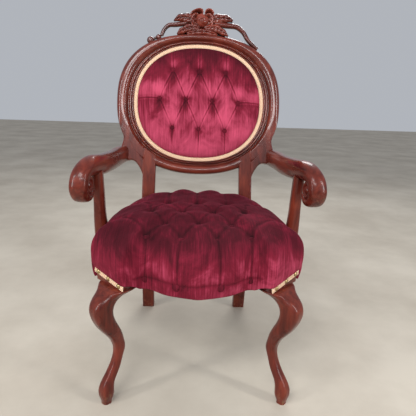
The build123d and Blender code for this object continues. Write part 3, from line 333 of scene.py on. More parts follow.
def join(tree, made, inputs):
    """Set or link the inputs of a node."""
    for key, value in dict(inputs).items():
        if isinstance(value, bpy.types.NodeSocket):
            tree.links.new(value, made.inputs[key])
        else:
            made.inputs[key].default_value = value


def node(tree, kind, inputs=(), stops=(), **settings):
    """One node with its settings, its constants and links, and the stops of its colour ramp."""
    made = tree.nodes.new(kind)
    for key, value in settings.items():
        setattr(made, key, value)
    join(tree, made, inputs)
    if stops:
        elements = made.color_ramp.elements
        while len(elements) < len(stops):
            elements.new(0.5)
        for element, (place, colour) in zip(elements, stops):
            element.position = place
            element.color = (*colour, 1.0)
    return made


def new_material(name):
    """Empty material with its tree and its Principled shader."""
    made = bpy.data.materials.new(name)
    made.use_nodes = True
    tree = made.node_tree
    return made, tree, tree.nodes["Principled BSDF"]


def stretched(tree, scale, **settings):
    """Noise on Object coordinates with its own scale for each axis, in repeats per metre."""
    place = node(tree, "ShaderNodeTexCoord")
    mapping = node(tree, "ShaderNodeMapping", {"Vector": place.outputs["Object"], "Scale": scale})
    return node(tree, "ShaderNodeTexNoise", {"Vector": mapping.outputs["Vector"], "Scale": 1.0, **settings})


def mahogany(name, grain, settings, coat, worn_from=0.05, worn_to=0.0, strength=0.75, carved=False):
    """Stained mahogany under gloss lacquer: dark straight grain, soft mottling and sharp highlights; carved
    pieces also get painted shade in their hollows.
    """
    made, tree, shader = new_material(name)
    along, across = 5.0, 70.0  # grain about 14 mm wide and 200 mm long
    scale = tuple(along if axis == grain else across for axis in "xyz")
    streaks = stretched(tree, scale, Detail=5.0, Roughness=0.6, Distortion=0.6)
    mottle = stretched(tree, (9.0, 9.0, 9.0), Detail=3.0)
    mixed = node(tree, "ShaderNodeMix", {0: 0.45, 2: streaks.outputs["Fac"], 3: mottle.outputs["Fac"]})
    colour = node(tree, "ShaderNodeValToRGB", {"Fac": mixed.outputs[0]}, stops=(
        (0.3, settings.dark), (0.5, settings.body), (0.7, settings.light),
    ))
    # Scuffs at the low end of the piece, where the lacquer is rubbed to bare wood
    place = node(tree, "ShaderNodeTexCoord")
    parts = node(tree, "ShaderNodeSeparateXYZ", {0: place.outputs["Object"]})
    low = node(tree, "ShaderNodeMapRange", {
        0: parts.outputs["Z"], 1: worn_from, 2: worn_to, 3: 0.0, 4: strength,
    })
    specks = stretched(tree, (160.0, 160.0, 60.0), Detail=4.0)
    rubbed = node(tree, "ShaderNodeMapRange", {0: specks.outputs["Fac"], 1: 0.55, 2: 0.68})
    wear = node(tree, "ShaderNodeMath", {0: low.outputs[0], 1: rubbed.outputs[0]}, operation="MULTIPLY")
    bare = (*linear("#8A6448"), 1.0)
    worn = node(
        tree, "ShaderNodeMix",
        {0: wear.outputs[0], 6: colour.outputs["Color"], 7: bare}, data_type="RGBA",
    )
    # Carved pieces get painted shade in their hollows and painted light on their proud parts
    tone = painted_hollow_shade(tree, worn.outputs[2]) if carved else worn.outputs[2]
    haze = node(tree, "ShaderNodeMapRange", {0: mottle.outputs["Fac"], 1: 0.3, 2: 0.7, 3: 0.24, 4: 0.38})
    join(tree, shader, {
        "Base Color": tone, "Roughness": haze.outputs[0], "IOR": 1.5, "Specular IOR Level": 0.2,
        "Coat Weight": coat, "Coat IOR": 1.38, "Coat Roughness": 0.1,
    })
    return made


def painted_hollow_shade(tree, tone):
    """Painted shade in the hollows of the carving and painted light on its proud parts: the tone darkens with
    depth behind the front and brightens where the carving stands forward; faces turned to the back keep the
    plain tone, as the ring does.
    """
    place = node(tree, "ShaderNodeTexCoord")
    shape = node(tree, "ShaderNodeNewGeometry")
    level, facing = (
        node(tree, "ShaderNodeVectorMath", {0: source, 1: BACK_FRONT}, operation="DOT_PRODUCT")
        for source in (place.outputs["Object"], shape.outputs["Normal"])
    )
    base = BACK_MIDDLE.dot(BACK_FRONT) * MM
    hollow = node(tree, "ShaderNodeMapRange", {
        0: level.outputs["Value"], 1: base - 0.001, 2: base + 0.015, 3: 0.05, 4: 1.3,
    })
    front = node(tree, "ShaderNodeMapRange", {0: facing.outputs["Value"], 1: -0.25, 2: 0.05})
    depth = node(tree, "ShaderNodeMix", {0: front.outputs[0], 2: 1.0, 3: hollow.outputs[0]})
    shaded = node(tree, "ShaderNodeVectorMath", {0: tone, "Scale": depth.outputs[0]}, operation="SCALE")
    return shaded.outputs["Vector"]


def plain_wood(name):
    """Raw beech of the hidden frame: pale, straight grained and dull."""
    made, tree, shader = new_material(name)
    streaks = stretched(tree, (8.0, 60.0, 90.0), Detail=4.0)
    colour = node(tree, "ShaderNodeValToRGB", {"Fac": streaks.outputs["Fac"]}, stops=(
        (0.35, linear("#9A7350")), (0.65, linear("#C29A70")),
    ))
    join(tree, shader, {"Base Color": colour.outputs["Color"], "Roughness": 0.7})
    return made


def cotton_velvet(name, settings):
    """Cut cotton velvet: deep red pile with fine ribs down the cloth; its tone runs from near black where
    shade is painted to pink where the pile lies over and where highlights are painted.
    """
    made, tree, shader = new_material(name)
    pile_and_painted_light = node(tree, "ShaderNodeAttribute", attribute_name="pile_and_painted_light")
    brushed = stretched(tree, (16.0, 9.0, 9.0), Detail=5.0, Roughness=0.65, Distortion=1.2)
    ribs = stretched(tree, (420.0, 16.0, 16.0), Detail=2.0)  # ribs 2.4 mm wide, coarser than the real 1 mm
    first = node(tree, "ShaderNodeMix", {0: 0.5, 2: pile_and_painted_light.outputs["Fac"], 3: brushed.outputs["Fac"]})
    second = node(tree, "ShaderNodeMix", {0: 0.2, 2: first.outputs[0], 3: ribs.outputs["Fac"]})
    body, light = Vector(settings.velvet), Vector(settings.brushed)
    colour = node(tree, "ShaderNodeValToRGB", {"Fac": second.outputs[0]}, stops=(
        (0.28, tuple(body * 0.12)), (0.43, tuple(body * 0.42)), (0.54, tuple(body)),
        (0.62, tuple((body + light) / 2)), (0.72, tuple(light)),
    ))
    bump = node(tree, "ShaderNodeBump", {"Strength": 0.35, "Distance": 0.0008, "Height": ribs.outputs["Fac"]})
    join(tree, shader, {
        "Base Color": colour.outputs["Color"], "Normal": bump.outputs["Normal"], "Roughness": 0.85,
        "Specular IOR Level": 0.15, "Sheen Weight": 0.3, "Sheen Roughness": 0.35,
        "Sheen Tint": (*linear("#D0506C"), 1.0),
    })
    return made


def braided_cotton(name, colour):
    """Twisted rayon and cotton gimp: matt tan threads, darker and lighter in fine flecks and wide patches."""
    made, tree, shader = new_material(name)
    threads = stretched(tree, (900.0, 900.0, 900.0), Detail=2.0)  # threads about 1 mm
    age = stretched(tree, (14.0, 14.0, 14.0), Detail=3.0)
    mixed = node(tree, "ShaderNodeMix", {0: 0.5, 2: threads.outputs["Fac"], 3: age.outputs["Fac"]})
    body = Vector(colour)
    tone = node(tree, "ShaderNodeValToRGB", {"Fac": mixed.outputs[0]}, stops=(
        (0.3, tuple(body * 0.6)), (0.55, tuple(body)), (0.75, tuple(body * 1.15)),
    ))
    bump = node(tree, "ShaderNodeBump", {
        "Strength": 0.4, "Distance": 0.0005, "Height": threads.outputs["Fac"],
    })
    join(tree, shader, {
        "Base Color": tone.outputs["Color"], "Normal": bump.outputs["Normal"], "Roughness": 0.85,
    })
    return made


def woven(name, dark, light, pitch):
    """Plain open weave: threads cross at the given pitch in metres."""
    made, tree, shader = new_material(name)
    place = node(tree, "ShaderNodeTexCoord")
    check = node(tree, "ShaderNodeTexChecker", {"Vector": place.outputs["Object"], "Scale": 1.0 / pitch})
    fuzz = stretched(tree, (300.0, 300.0, 300.0), Detail=3.0)
    mixed = node(tree, "ShaderNodeMix", {0: 0.6, 2: check.outputs["Fac"], 3: fuzz.outputs["Fac"]})
    colour = node(tree, "ShaderNodeValToRGB", {"Fac": mixed.outputs[0]}, stops=(
        (0.2, linear(dark)), (0.7, linear(light)),
    ))
    join(tree, shader, {"Base Color": colour.outputs["Color"], "Roughness": 0.9})
    return made


def metal(name, colour, dark, roughness):
    """Drawn or stamped metal that has dulled with age in patches."""
    made, tree, shader = new_material(name)
    patches = stretched(tree, (220.0, 220.0, 220.0), Detail=4.0)
    tone = node(tree, "ShaderNodeValToRGB", {"Fac": patches.outputs["Fac"]}, stops=(
        (0.35, linear(dark)), (0.6, linear(colour)),
    ))
    rough = node(tree, "ShaderNodeMapRange", {
        0: patches.outputs["Fac"], 3: roughness - 0.1, 4: roughness + 0.15,
    })
    join(tree, shader, {
        "Base Color": tone.outputs["Color"], "Roughness": rough.outputs[0], "Metallic": 1.0,
    })
    return made


def pale_concrete(name):
    """Pale studio floor: matt, with wide faint stains."""
    made, tree, shader = new_material(name)
    stains = stretched(tree, (2.2, 2.2, 2.2), Detail=6.0, Roughness=0.6)
    colour = node(tree, "ShaderNodeValToRGB", {"Fac": stains.outputs["Fac"]}, stops=(
        (0.35, linear("#B2A899")), (0.65, linear("#C6BDAE")),
    ))
    join(tree, shader, {"Base Color": colour.outputs["Color"], "Roughness": 0.8})
    return made


def finish(name):
    """Material of the chair or its floor by name, made on first use."""
    if name in bpy.data.materials:
        return bpy.data.materials[name]
    scene = bpy.context.scene
    cover, wood = scene.armchair_cover, scene.armchair_wood
    makers = {
        "mahogany_upright": lambda: mahogany(name, "z", wood, 0.3),
        "mahogany_stile": lambda: mahogany(name, "z", wood, 1.0),
        "mahogany_arm": lambda: mahogany(name, "y", wood, 0.35, worn_from=0.545, worn_to=0.5, strength=0.6),
        "mahogany_oval": lambda: mahogany(name, "x", wood, 1.0),
        "mahogany_carved": lambda: mahogany(name, "x", wood, 1.0, carved=True),
        "beech": lambda: plain_wood(name),
        "cotton_velvet": lambda: cotton_velvet(name, cover),
        "gimp_braid": lambda: braided_cotton(name, cover.braid),
        "hessian": lambda: woven(name, "#5E4A2E", "#A98A5C", 0.003),
        "black_cambric": lambda: woven(name, "#0B0B0C", "#1C1C1E", 0.002),
        "antique_brass": lambda: metal(name, "#6E5636", "#2C2016", 0.36),
        "spring_steel": lambda: metal(name, "#8C8E92", "#55575B", 0.35),
        "pale_concrete": lambda: pale_concrete(name),
    }
    return makers[name]()


def point_tree(name, along_path):
    """Geometry nodes that set a form on every point, or along a path at a pitch."""
    tree = bpy.data.node_groups.new(name, "GeometryNodeTree")
    for label, kind in (
        ("Geometry", "NodeSocketGeometry"), ("Form", "NodeSocketObject"),
        ("Pitch", "NodeSocketFloat"), ("Material", "NodeSocketMaterial"),
    ):
        tree.interface.new_socket(label, in_out="INPUT", socket_type=kind)
    tree.interface.new_socket("Geometry", in_out="OUTPUT", socket_type="NodeSocketGeometry")
    entry = node(tree, "NodeGroupInput")
    info = node(tree, "GeometryNodeObjectInfo", {"Object": entry.outputs["Form"]})
    facing = node(tree, "GeometryNodeInputNamedAttribute", {0: "facing"}, data_type="FLOAT_VECTOR")
    turn = node(tree, "FunctionNodeAlignRotationToVector", {"Vector": facing.outputs[0]}, axis="Z")
    points = entry.outputs["Geometry"]
    rotation = turn.outputs[0]
    if along_path:
        curve = node(tree, "GeometryNodeMeshToCurve", {0: points})
        spread = node(
            tree, "GeometryNodeCurveToPoints",
            {"Curve": curve.outputs[0], "Length": entry.outputs["Pitch"]}, mode="LENGTH",
        )
        points = spread.outputs["Points"]
        aim = node(
            tree, "FunctionNodeAlignRotationToVector",
            {"Rotation": rotation, "Vector": spread.outputs["Tangent"]}, axis="X", pivot_axis="Z",
        )
        rotation = aim.outputs[0]
    placed = node(
        tree, "GeometryNodeInstanceOnPoints",
        {"Points": points, "Instance": info.outputs["Geometry"], "Rotation": rotation},
    )
    real = node(tree, "GeometryNodeRealizeInstances", {0: placed.outputs[0]})
    coloured = node(tree, "GeometryNodeSetMaterial", {
        0: real.outputs[0], "Material": entry.outputs["Material"],
    })
    node(tree, "NodeGroupOutput", {0: coloured.outputs[0]})
    return tree


def spread_form(name, points, facings, form, pitch=0.0, closed=False):
    """Plain mesh of a form repeated on points, or along the path through them when a pitch is given."""
    along = pitch > 0.0
    count = len(points)
    edges = []
    if along:
        edges = [(i, (i + 1) % count) for i in range(count if closed else count - 1)]
    mesh = bpy.data.meshes.new(name)
    mesh.from_pydata([tuple(p) for p in points], edges, [])
    field = mesh.attributes.new("facing", "FLOAT_VECTOR", "POINT")
    field.data.foreach_set("vector", [c for f in facings for c in f])
    carrier = bpy.data.objects.new(name + ".points", mesh)
    bpy.context.scene.collection.objects.link(carrier)
    modifier = carrier.modifiers.new("set", "NODES")
    tree = point_tree(name + "_nodes", along)
    modifier.node_group = tree
    values = {"Form": form, "Pitch": pitch, "Material": form.data.materials[0]}
    for item in tree.interface.items_tree:
        if item.in_out == "INPUT" and item.name in values:
            modifier[item.identifier] = values[item.name]
    graph = bpy.context.evaluated_depsgraph_get()
    made = bpy.data.meshes.new_from_object(carrier.evaluated_get(graph))
    made.name = name
    bpy.data.objects.remove(carrier)
    bpy.data.objects.remove(form)
    return smooth_piece(name, made)


def turned(name, profile, segments, material, ripple=0.0):
    """Lathe form about Z, in millimetres, with optional gathers round its rim."""
    form = Form()
    rings = []
    for radius, height in profile:
        ring = []
        for k in range(segments):
            turn = 2 * math.pi * k / segments
            out = radius * (1 + ripple * math.sin(BUTTON_GATHERS * turn))
            ring.append(Vector((out * math.cos(turn), out * math.sin(turn), height)) * MM)
        rings.append(ring)
    form.loft(rings)
    return form.mesh(name, material)


def near_lines(x, y, lines):
    """Distance from points to the nearest of several straight folds."""
    best = np.full(x.shape, FAR_OFF)
    for (ax, ay), (bx, by) in lines:
        dx, dy = bx - ax, by - ay
        t = np.clip(((x - ax) * dx + (y - ay) * dy) / (dx * dx + dy * dy), 0.0, 1.0)
        best = np.minimum(best, np.hypot(x - ax - t * dx, y - ay - t * dy))
    return best


def step(low, high, value):
    """Smooth step from 0 to 1."""
    t = np.clip((value - low) / (high - low), 0.0, 1.0)
    return t * t * (3 - 2 * t)


def deepest(*dents):
    """Depth of several dents where they run into each other."""
    return sum(dent**DENT_BLEND for dent in dents) ** (1 / DENT_BLEND)


def crumple(points, pitch, size, seed):
    """Small uneven swellings of stuffed cloth."""
    shift = Vector((seed, seed * 2.0, seed * 3.0))
    return np.array([noise.noise(Vector(p) / pitch + shift) for p in points]) * size


def even_rows(levels, rows, height, reach):
    """Run over a cushion's section in even rows, with the section's values at each row."""
    section = np.array(through(levels, 24))
    rises = height * np.diff(section[:, 0])
    run = np.append(0.0, np.cumsum(np.hypot(rises, reach * np.diff(section[:, 1]))))
    even = np.linspace(0.0, run[-1] * CROWN_SHARE, rows)
    return even, *(np.interp(even, run, values) for values in section.T)


def oval_rows(half_width, half_height, shares, columns):
    """Places of a cushion's rows in the plane of the back, drawn in from an oval by their shares."""
    turns = np.linspace(0.0, 2 * math.pi, columns, endpoint=False)
    rim = np.array([oval_point(turn, half_width, half_height, 0.0) for turn in turns])
    return np.outer(shares, rim[:, 0]).ravel(), (OVAL_RISE + np.outer(shares, rim[:, 1])).ravel()


def panel_points(across, rise, forward):
    """Many points of the plane of the back, in millimetres."""
    axes = np.array([(1.0, 0.0, 0.0), BACK_UP, BACK_FRONT])
    return np.array(BACK_MIDDLE) + np.column_stack([across, rise, forward]) @ axes


def cushion_mesh(name, points, rows, columns, pile_and_painted_light, floor_point):
    """Closed skin from rows of points, the first row at the open edge and the last at the crown."""
    ring = [(c, (c + 1) % columns) for c in range(columns)]
    faces = []
    for r in range(rows - 1):
        low, high = r * columns, (r + 1) * columns
        faces.extend((low + c, low + d, high + d, high + c) for c, d in ring)
    top = rows * columns
    last = top - columns
    faces.extend((last + c, last + d, top) for c, d in ring)
    faces.extend((d, c, top + 1) for c, d in ring)
    crown = points[-columns:].mean(axis=0)
    verts = np.vstack([points, crown, floor_point]) * MM
    mesh = bpy.data.meshes.new(name)
    mesh.from_pydata(verts.tolist(), [], faces)
    # Velvet tone of each vertex: the lie of the pile together with painted shade and painted highlights
    field = mesh.attributes.new("pile_and_painted_light", "FLOAT", "POINT")
    hidden_pile = 0.2
    field.data.foreach_set("value", np.append(pile_and_painted_light, [pile_and_painted_light[-columns:].mean(), hidden_pile]).astype(np.float32))
    turn_outwards(mesh)
    mesh.materials.append(finish("cotton_velvet"))
    return smooth_piece(name, mesh)


def slopes(grid):
    """Outward normals of a grid of points (rows, columns, 3)."""
    round_way = np.roll(grid, -1, axis=1) - np.roll(grid, 1, axis=1)
    up_way = np.gradient(grid, axis=0)
    normal = np.cross(round_way, up_way)
    return normal / np.maximum(np.linalg.norm(normal, axis=2, keepdims=True), 1e-9)


class CHAIR_OT_seat(bpy.types.Operator):
    """Tufted seat cushion over the rails"""

    bl_idname = "armchair.seat"
    bl_label = "Seat cushion"

    columns = 540
    rows = 150
    mean_reach = 240.0
    knee_lift = 25.0
    knee_reach = (60.0, 70.0)
    front_quarter = -150.0
    # The pleats of the front face start over the first heights, the folds of the top over the second
    face_foot = (334.0, 346.0)
    shoulder = (372.0, 420.0)
    face_front = -215.0
    gather_depth = 7.0
    crease_height = 350.0
    crease_front = -225.0
    rear_edge = 230.0
    floor_point = (0.0, -40.0, 341.0)
    # Fuller places of the stuffing on each side: x, y, height and reach
    lobes = (
        (43.0, 150.0, 9.0, 40.0), (120.0, 110.0, 8.0, 40.0),
        (205.0, 40.0, 5.0, 60.0), (240.0, -190.0, 4.0, 50.0),
    )

    def outline(self):
        """Even points round the plan of the cover."""
        right = through(FRONT_PLAN, 30)
        right += through(SIDE_PLAN, 30)
        right += through(REAR_PLAN, 20) + [REAR_MIDDLE]
        full = right + [(-x, y) for x, y in reversed(right[1:-1])]
        loop = np.array(full + full[:1])
        reach = np.append(0.0, np.cumsum(np.hypot(*np.diff(loop, axis=0).T)))
        even = np.linspace(0.0, reach[-1], self.columns, endpoint=False)
        plan = np.column_stack([np.interp(even, reach, loop[:, 0]), np.interp(even, reach, loop[:, 1])])
        for _ in range(6):
            plan = 0.25 * np.roll(plan, 1, axis=0) + 0.5 * plan + 0.25 * np.roll(plan, -1, axis=0)
        return plan

    def cover(self, plan):
        """Smooth cover before it is tufted: run of its rows, points and outward normals."""
        even, rise, share, shift = even_rows(SEAT_LEVELS, self.rows, 1.0, self.mean_reach)
        # The lower edge is lifted over the knees, where the gimp strips lie
        x, y = plan.T
        along = (np.abs(x) - KNEE_MIDDLE.x) * DIAGONAL + (y - KNEE_MIDDLE.y) * DIAGONAL
        near, clear = self.knee_reach
        lift = step(clear, near, np.abs(along)) * (y < self.front_quarter)
        lift = lift * (self.knee_lift + along * math.tan(KNEE_TILT))
        height = lift[None, :] + rise[:, None] * (1.0 - lift[None, :] / SEAT_LEVELS[-1][0])
        grid = np.empty((self.rows, self.columns, 3))
        grid[:, :, 0] = share[:, None] * x[None, :]
        grid[:, :, 1] = SEAT_MIDDLE_Y + shift[:, None] + share[:, None] * (y[None, :] - SEAT_MIDDLE_Y)
        grid[:, :, 2] = SEAT_BOTTOM + height
        return even, grid.reshape(-1, 3), slopes(grid).reshape(-1, 3)

    def path(self, side, *spots):
        """Straight folds from spot to spot, on one side of the seat."""
        line = [(side * x, y) for x, y in spots]
        return list(zip(line, line[1:]))

    def folds(self):
        """Folds of the diamonds, gathers over the rear and side edges, and pleats of the front face."""
        lines = [
            (a[:2], b[:2]) for a in SEAT_BUTTONS for b in SEAT_BUTTONS
            if 0.0 < b[1] - a[1] < 90.0 and abs(a[0] - b[0]) < NEXT_BUTTON
        ]
        gathers = []
        pleats = []
        for x, y, _ in SEAT_BUTTONS[-len(SEAT_ROWS[-1][0]):]:
            lines += self.path(1, (x, y), (x, self.rear_edge))
            gathers += self.path(1, (x, 150.0), (x, self.rear_edge))
        for side in (1, -1):
            lines += self.path(side, (129.0, -222.0), (150.0, -180.0), (178.0, -145.0), (219.0, -124.0))
            lines += self.path(side, (129.0, -80.0), (138.0, -14.0), (176.0, 22.0))
            gathers += self.path(side, (219.0, -124.0), (290.0, -104.0))
            gathers += self.path(side, (176.0, 22.0), (250.0, 58.0))
            pleats += self.path(side, (43.0, -250.0), (47.0, -280.0), (52.0, -340.0))
            pleats += self.path(side, (129.0, -222.0), (127.0, -300.0))
        return lines, gathers, pleats

    def pits(self, x, y, z):
        """Depth of the pits that the buttons pull, and distance to the nearest button."""
        pit = np.zeros_like(z)
        close = np.full(z.shape, FAR_OFF)
        for bx, by, bz in SEAT_BUTTONS:
            away = np.hypot(x - bx, y - by) + 3.0 * np.maximum(415.0 - z, 0.0)
            drop = max(z[np.argmin(away)] - bz - 1.0, 6.0)
            pit = np.maximum(pit, drop * np.exp(-((away / 17.0) ** 1.25)))
            close = np.minimum(close, away)
        for spot, _ in FACE_BUTTONS:
            away = np.sqrt((x - spot.x) ** 2 + (y - spot.y) ** 2 + (z - spot.z) ** 2)
            pit = np.maximum(pit, 7.0 * np.exp(-((away / 13.0) ** 1.4)))
            close = np.minimum(close, away)
        return pit, close

    def stuffing(self, points):
        """Uneven fullness under the cover."""
        x, y, z = points.T
        swell = crumple(points, 70.0, 2.4, 3.1) + crumple(points, 26.0, 1.0, 8.4)
        for across, along, size, reach in self.lobes:
            for side in (1, -1):
                lobe = np.exp(-((x - side * across) ** 2 + (y - along) ** 2) / reach**2)
                swell += size * lobe * step(360.0, 440.0, z)
        return swell

    def execute(self, context):
        depth = context.scene.armchair_cover.pleat_depth / MM
        even, points, normals = self.cover(self.outline())
        x, y, z = points.T
        lines, gathers, pleats = self.folds()
        far = near_lines(x, y, lines + gathers)
        near = near_lines(x, y, pleats)
        pull = near_lines(x, y, gathers)
        on_face = step(*self.face_foot, z) * (y < self.face_front)
        edge = step(*self.shoulder, z)
        fold = 0.5 * depth * np.exp(-far / 6.0) * edge
        fold = np.maximum(fold, 0.55 * depth * np.exp(-near / 3.5) * on_face)
        gather = self.gather_depth * np.exp(-((pull / 20.0) ** 1.3)) * step(350.0, 420.0, z)
        pit, close = self.pits(x, y, z)
        # A wavy crease runs along the foot of the front face
        low = np.abs(z - self.crease_height - 2.5 * np.sin(x / 19.0))
        crease = 3.0 * np.exp(-low / 5.0) * step(160.0, 130.0, np.abs(x)) * (y < self.crease_front)
        swell = self.stuffing(points) * np.repeat(step(0.0, 12.0, even), self.columns)
        moved = points + normals * (swell - deepest(fold, pit, crease, gather))[:, None]
        # Lighter on the front, the rolled edges and the right front quarter, darker on the flat of the seat:
        # partly the lie of the pile, partly painted sheen on the rolled edges
        pile_and_painted_light = 0.27 + 0.33 * step(448.0, 372.0, z) + 0.1 * step(0.0, 160.0, x) * step(-20.0, -160.0, y)
        # Painted shade in the folds, pleats and the crease
        pile_and_painted_light = pile_and_painted_light - 0.16 * np.exp(-far / 5.0) * edge
        pile_and_painted_light = pile_and_painted_light - 0.26 * np.exp(-near / 3.5) * on_face
        pile_and_painted_light = pile_and_painted_light - 0.2 * np.exp(-low / 4.0) * (crease > 0.2)
        # Painted highlights on the cloth beside them and beside the gathers
        pile_and_painted_light = pile_and_painted_light + 0.1 * np.exp(-((far - 9.0) / 5.0) ** 2) * edge
        pile_and_painted_light = pile_and_painted_light + 0.12 * np.exp(-((near - 6.0) / 3.0) ** 2) * on_face
        pile_and_painted_light = pile_and_painted_light + 0.16 * np.exp(-((pull - 14.0) / 9.0) ** 2) * edge
        # Painted shade round each button
        pile_and_painted_light = np.clip(pile_and_painted_light - 0.25 * np.exp(-close / 11.0), 0.0, 1.0)
        piece = cushion_mesh("seat_cushion", moved, self.rows, self.columns, pile_and_painted_light, self.floor_point)
        settle(piece, "velvet", "seat_pad")
        return {"FINISHED"}


class CHAIR_OT_back(bpy.types.Operator):
    """Tufted back cushion in the oval, and the plain panel behind it"""

    bl_idname = "armchair.back"
    bl_label = "Back cushion"

    columns = 420
    rows = 110
    half_size = (202.7, 180.7)
    mean_reach = 190.0
    crown_height = 34.0
    edge_level = 5.8
    beyond_edge = 230.0
    panel_columns = 240
    panel_half_size = (213.6, 191.6)

    def pleats(self):
        """Pleats between neighbouring buttons, and those that run out to the edge."""
        lines = [
            (a, b) for a in BACK_MIDDLE_ROW for b in BACK_TOP_ROW + BACK_LOW_ROW
            if abs(a[0] - b[0]) < NEXT_BUTTON
        ]
        lines += [((u, v), (u * 1.06, self.beyond_edge)) for u, v in BACK_TOP_ROW]
        lines += [((u, v), (u * 1.06, -self.beyond_edge)) for u, v in BACK_LOW_ROW]
        lines += [((u, v), (u * 2.0, v)) for u, v in (BACK_MIDDLE_ROW[0], BACK_MIDDLE_ROW[-1])]
        return lines

    def pile_with_painted_light(self, u, v, far, close):
        """Velvet tone: lighter towards the foot with painted shade at the top, painted highlights above each
        button and painted shade under each button.
        """
        pile_and_painted_light = 0.74 - 0.2 * v / 180.0 - 0.3 * np.exp(-((v - 178.0) / 60.0) ** 2)
        for bu, bv in BACK_BUTTONS:
            side, above = u - bu, v - bv
            lit = 0.3 * np.exp(-((side / (9.0 + 0.22 * np.abs(above))) ** 2))
            pile_and_painted_light += lit * step(2.0, 14.0, above) * step(75.0, 20.0, above)
            under = step(-2.0, -10.0, above) * step(-62.0, -14.0, above)
            pile_and_painted_light -= 0.3 * np.exp(-((side / (8.0 + 0.2 * np.abs(above))) ** 2)) * under
        # Outside the outer buttons: a painted highlight above their pleat, painted shade below it and painted
        # shade higher up
        outer = step(85.0, 155.0, np.abs(u))
        over = v - BACK_MIDDLE_ROW[0][1] + u * BACK_TILT
        pile_and_painted_light += 0.1 * outer * step(0.0, 8.0, over) * step(60.0, 10.0, over)
        pile_and_painted_light -= 0.14 * outer * step(4.0, -10.0, over) * step(-110.0, -30.0, over)
        pile_and_painted_light -= 0.1 * outer * step(34.0, 70.0, over)
        # Painted shade in the pleats with painted highlights beside them, and painted shade round the buttons
        pleat_shade_and_highlight = 0.16 * np.exp(-((far - 3.5) / 2.5) ** 2) - 0.26 * np.exp(-far / 2.0)
        pile_and_painted_light += pleat_shade_and_highlight - 0.4 * np.exp(-close / 9.0)
        return np.clip(pile_and_painted_light, 0.0, 1.0)

    def execute(self, context):
        depth = context.scene.armchair_cover.pleat_depth / MM * 0.9
        _, crown, share = even_rows(BACK_LEVELS, self.rows, self.crown_height, self.mean_reach)
        u, v = oval_rows(*self.half_size, share, self.columns)
        level = np.repeat(self.edge_level + self.crown_height * crown, self.columns)
        far = near_lines(u, v, self.pleats())
        edge = np.repeat(step(0.0, 0.25, crown), self.columns)
        fold = 0.7 * depth * np.exp(-far / 4.0) * (0.3 + 0.7 * edge)
        pit = np.zeros_like(u)
        close = np.full(u.shape, FAR_OFF)
        for bu, bv in BACK_BUTTONS:
            away = np.hypot(u - bu, v - bv)
            drop = level[np.argmin(away)] - BACK_BUTTON_LEVEL - 1.0
            pit = np.maximum(pit, drop * np.exp(-((away / 14.0) ** 1.25)))
            close = np.minimum(close, away)
        flat = np.column_stack([u, v, level])
        swell = (crumple(flat, 40.0, 1.6, 5.3) + crumple(flat, 15.0, 0.6, 9.7)) * edge
        level = np.maximum(level + swell - deepest(fold, pit), self.edge_level)
        points = panel_points(u, v, level)
        floor_point = BACK_MIDDLE + BACK_UP * OVAL_RISE + BACK_FRONT * self.edge_level
        pile_and_painted_light = self.pile_with_painted_light(u, v, far, close)
        piece = cushion_mesh("back_cushion", points, self.rows, self.columns, pile_and_painted_light, floor_point)
        settle(piece, "velvet", "back_pad")
        self.outside()
        return {"FINISHED"}

    def outside(self):
        """Plain velvet panel on the back of the ring, slightly domed."""
        shares = np.array([1.0, 1.0, 0.985, 0.95, 0.88, 0.78, 0.65, 0.5, 0.34, 0.18, 0.06])
        levels = -np.array([16.0, 18.5, 20.3, 21.2, 22.0, 22.6, 23.1, 23.5, 23.8, 24.0, 24.0])
        u, v = oval_rows(*self.panel_half_size, shares, self.panel_columns)
        points = panel_points(u, v, np.repeat(levels, self.panel_columns))
        pile_and_painted_light = np.full(u.shape, 0.62)
        floor_point = BACK_MIDDLE + BACK_UP * OVAL_RISE + BACK_FRONT * float(levels[0])
        piece = cushion_mesh(
            "outside_back_panel", points, len(shares), self.panel_columns, pile_and_painted_light, floor_point,
        )
        settle(piece, "velvet", "outside_back")


class CHAIR_OT_buttons(bpy.types.Operator):
    """Velvet-covered buttons of the seat and the back"""

    bl_idname = "armchair.buttons"
    bl_label = "Buttons"

    # Radius and height of the button's section
    profile = (
        (4.0, -2.0), (8.4, -1.5), (9.6, 0.4), (9.4, 2.4),
        (7.8, 4.4), (5.2, 5.6), (2.4, 6.1), (0.5, 6.2),
    )
    seat_sunk = 2.5
    back_proud = 4.0

    def sew(self, name, spots, facings, pile_with_painted_light, cad):
        """Set of buttons, each with one velvet tone all over; the back's low tone is painted shade, as if the
        buttons sat in the shade of their pits.
        """
        form = turned("button_form", self.profile, 36, finish("cotton_velvet"), 0.02)
        piece = spread_form(name, spots, facings, form)
        field = piece.data.attributes.new("pile_and_painted_light", "FLOAT", "POINT")
        field.data.foreach_set("value", [pile_with_painted_light] * len(piece.data.vertices))
        settle(piece, "velvet", cad)

    def execute(self, context):
        spots = [Vector((x, y, z - self.seat_sunk)) * MM for x, y, z in SEAT_BUTTONS]
        facings = [Vector((0.0, 0.0, 1.0))] * len(spots)
        spots += [spot * MM for spot, _ in FACE_BUTTONS]
        facings += [facing for _, facing in FACE_BUTTONS]
        self.sew("seat_button_set", spots, facings, 0.3, "seat_buttons")
        spots = [panel(u, v, BACK_BUTTON_LEVEL + self.back_proud) for u, v in BACK_BUTTONS]
        # The back's buttons get a low tone: painted shade in their pits
        self.sew("back_button_set", spots, [BACK_FRONT] * len(spots), 0.35, "back_buttons")
        return {"FINISHED"}


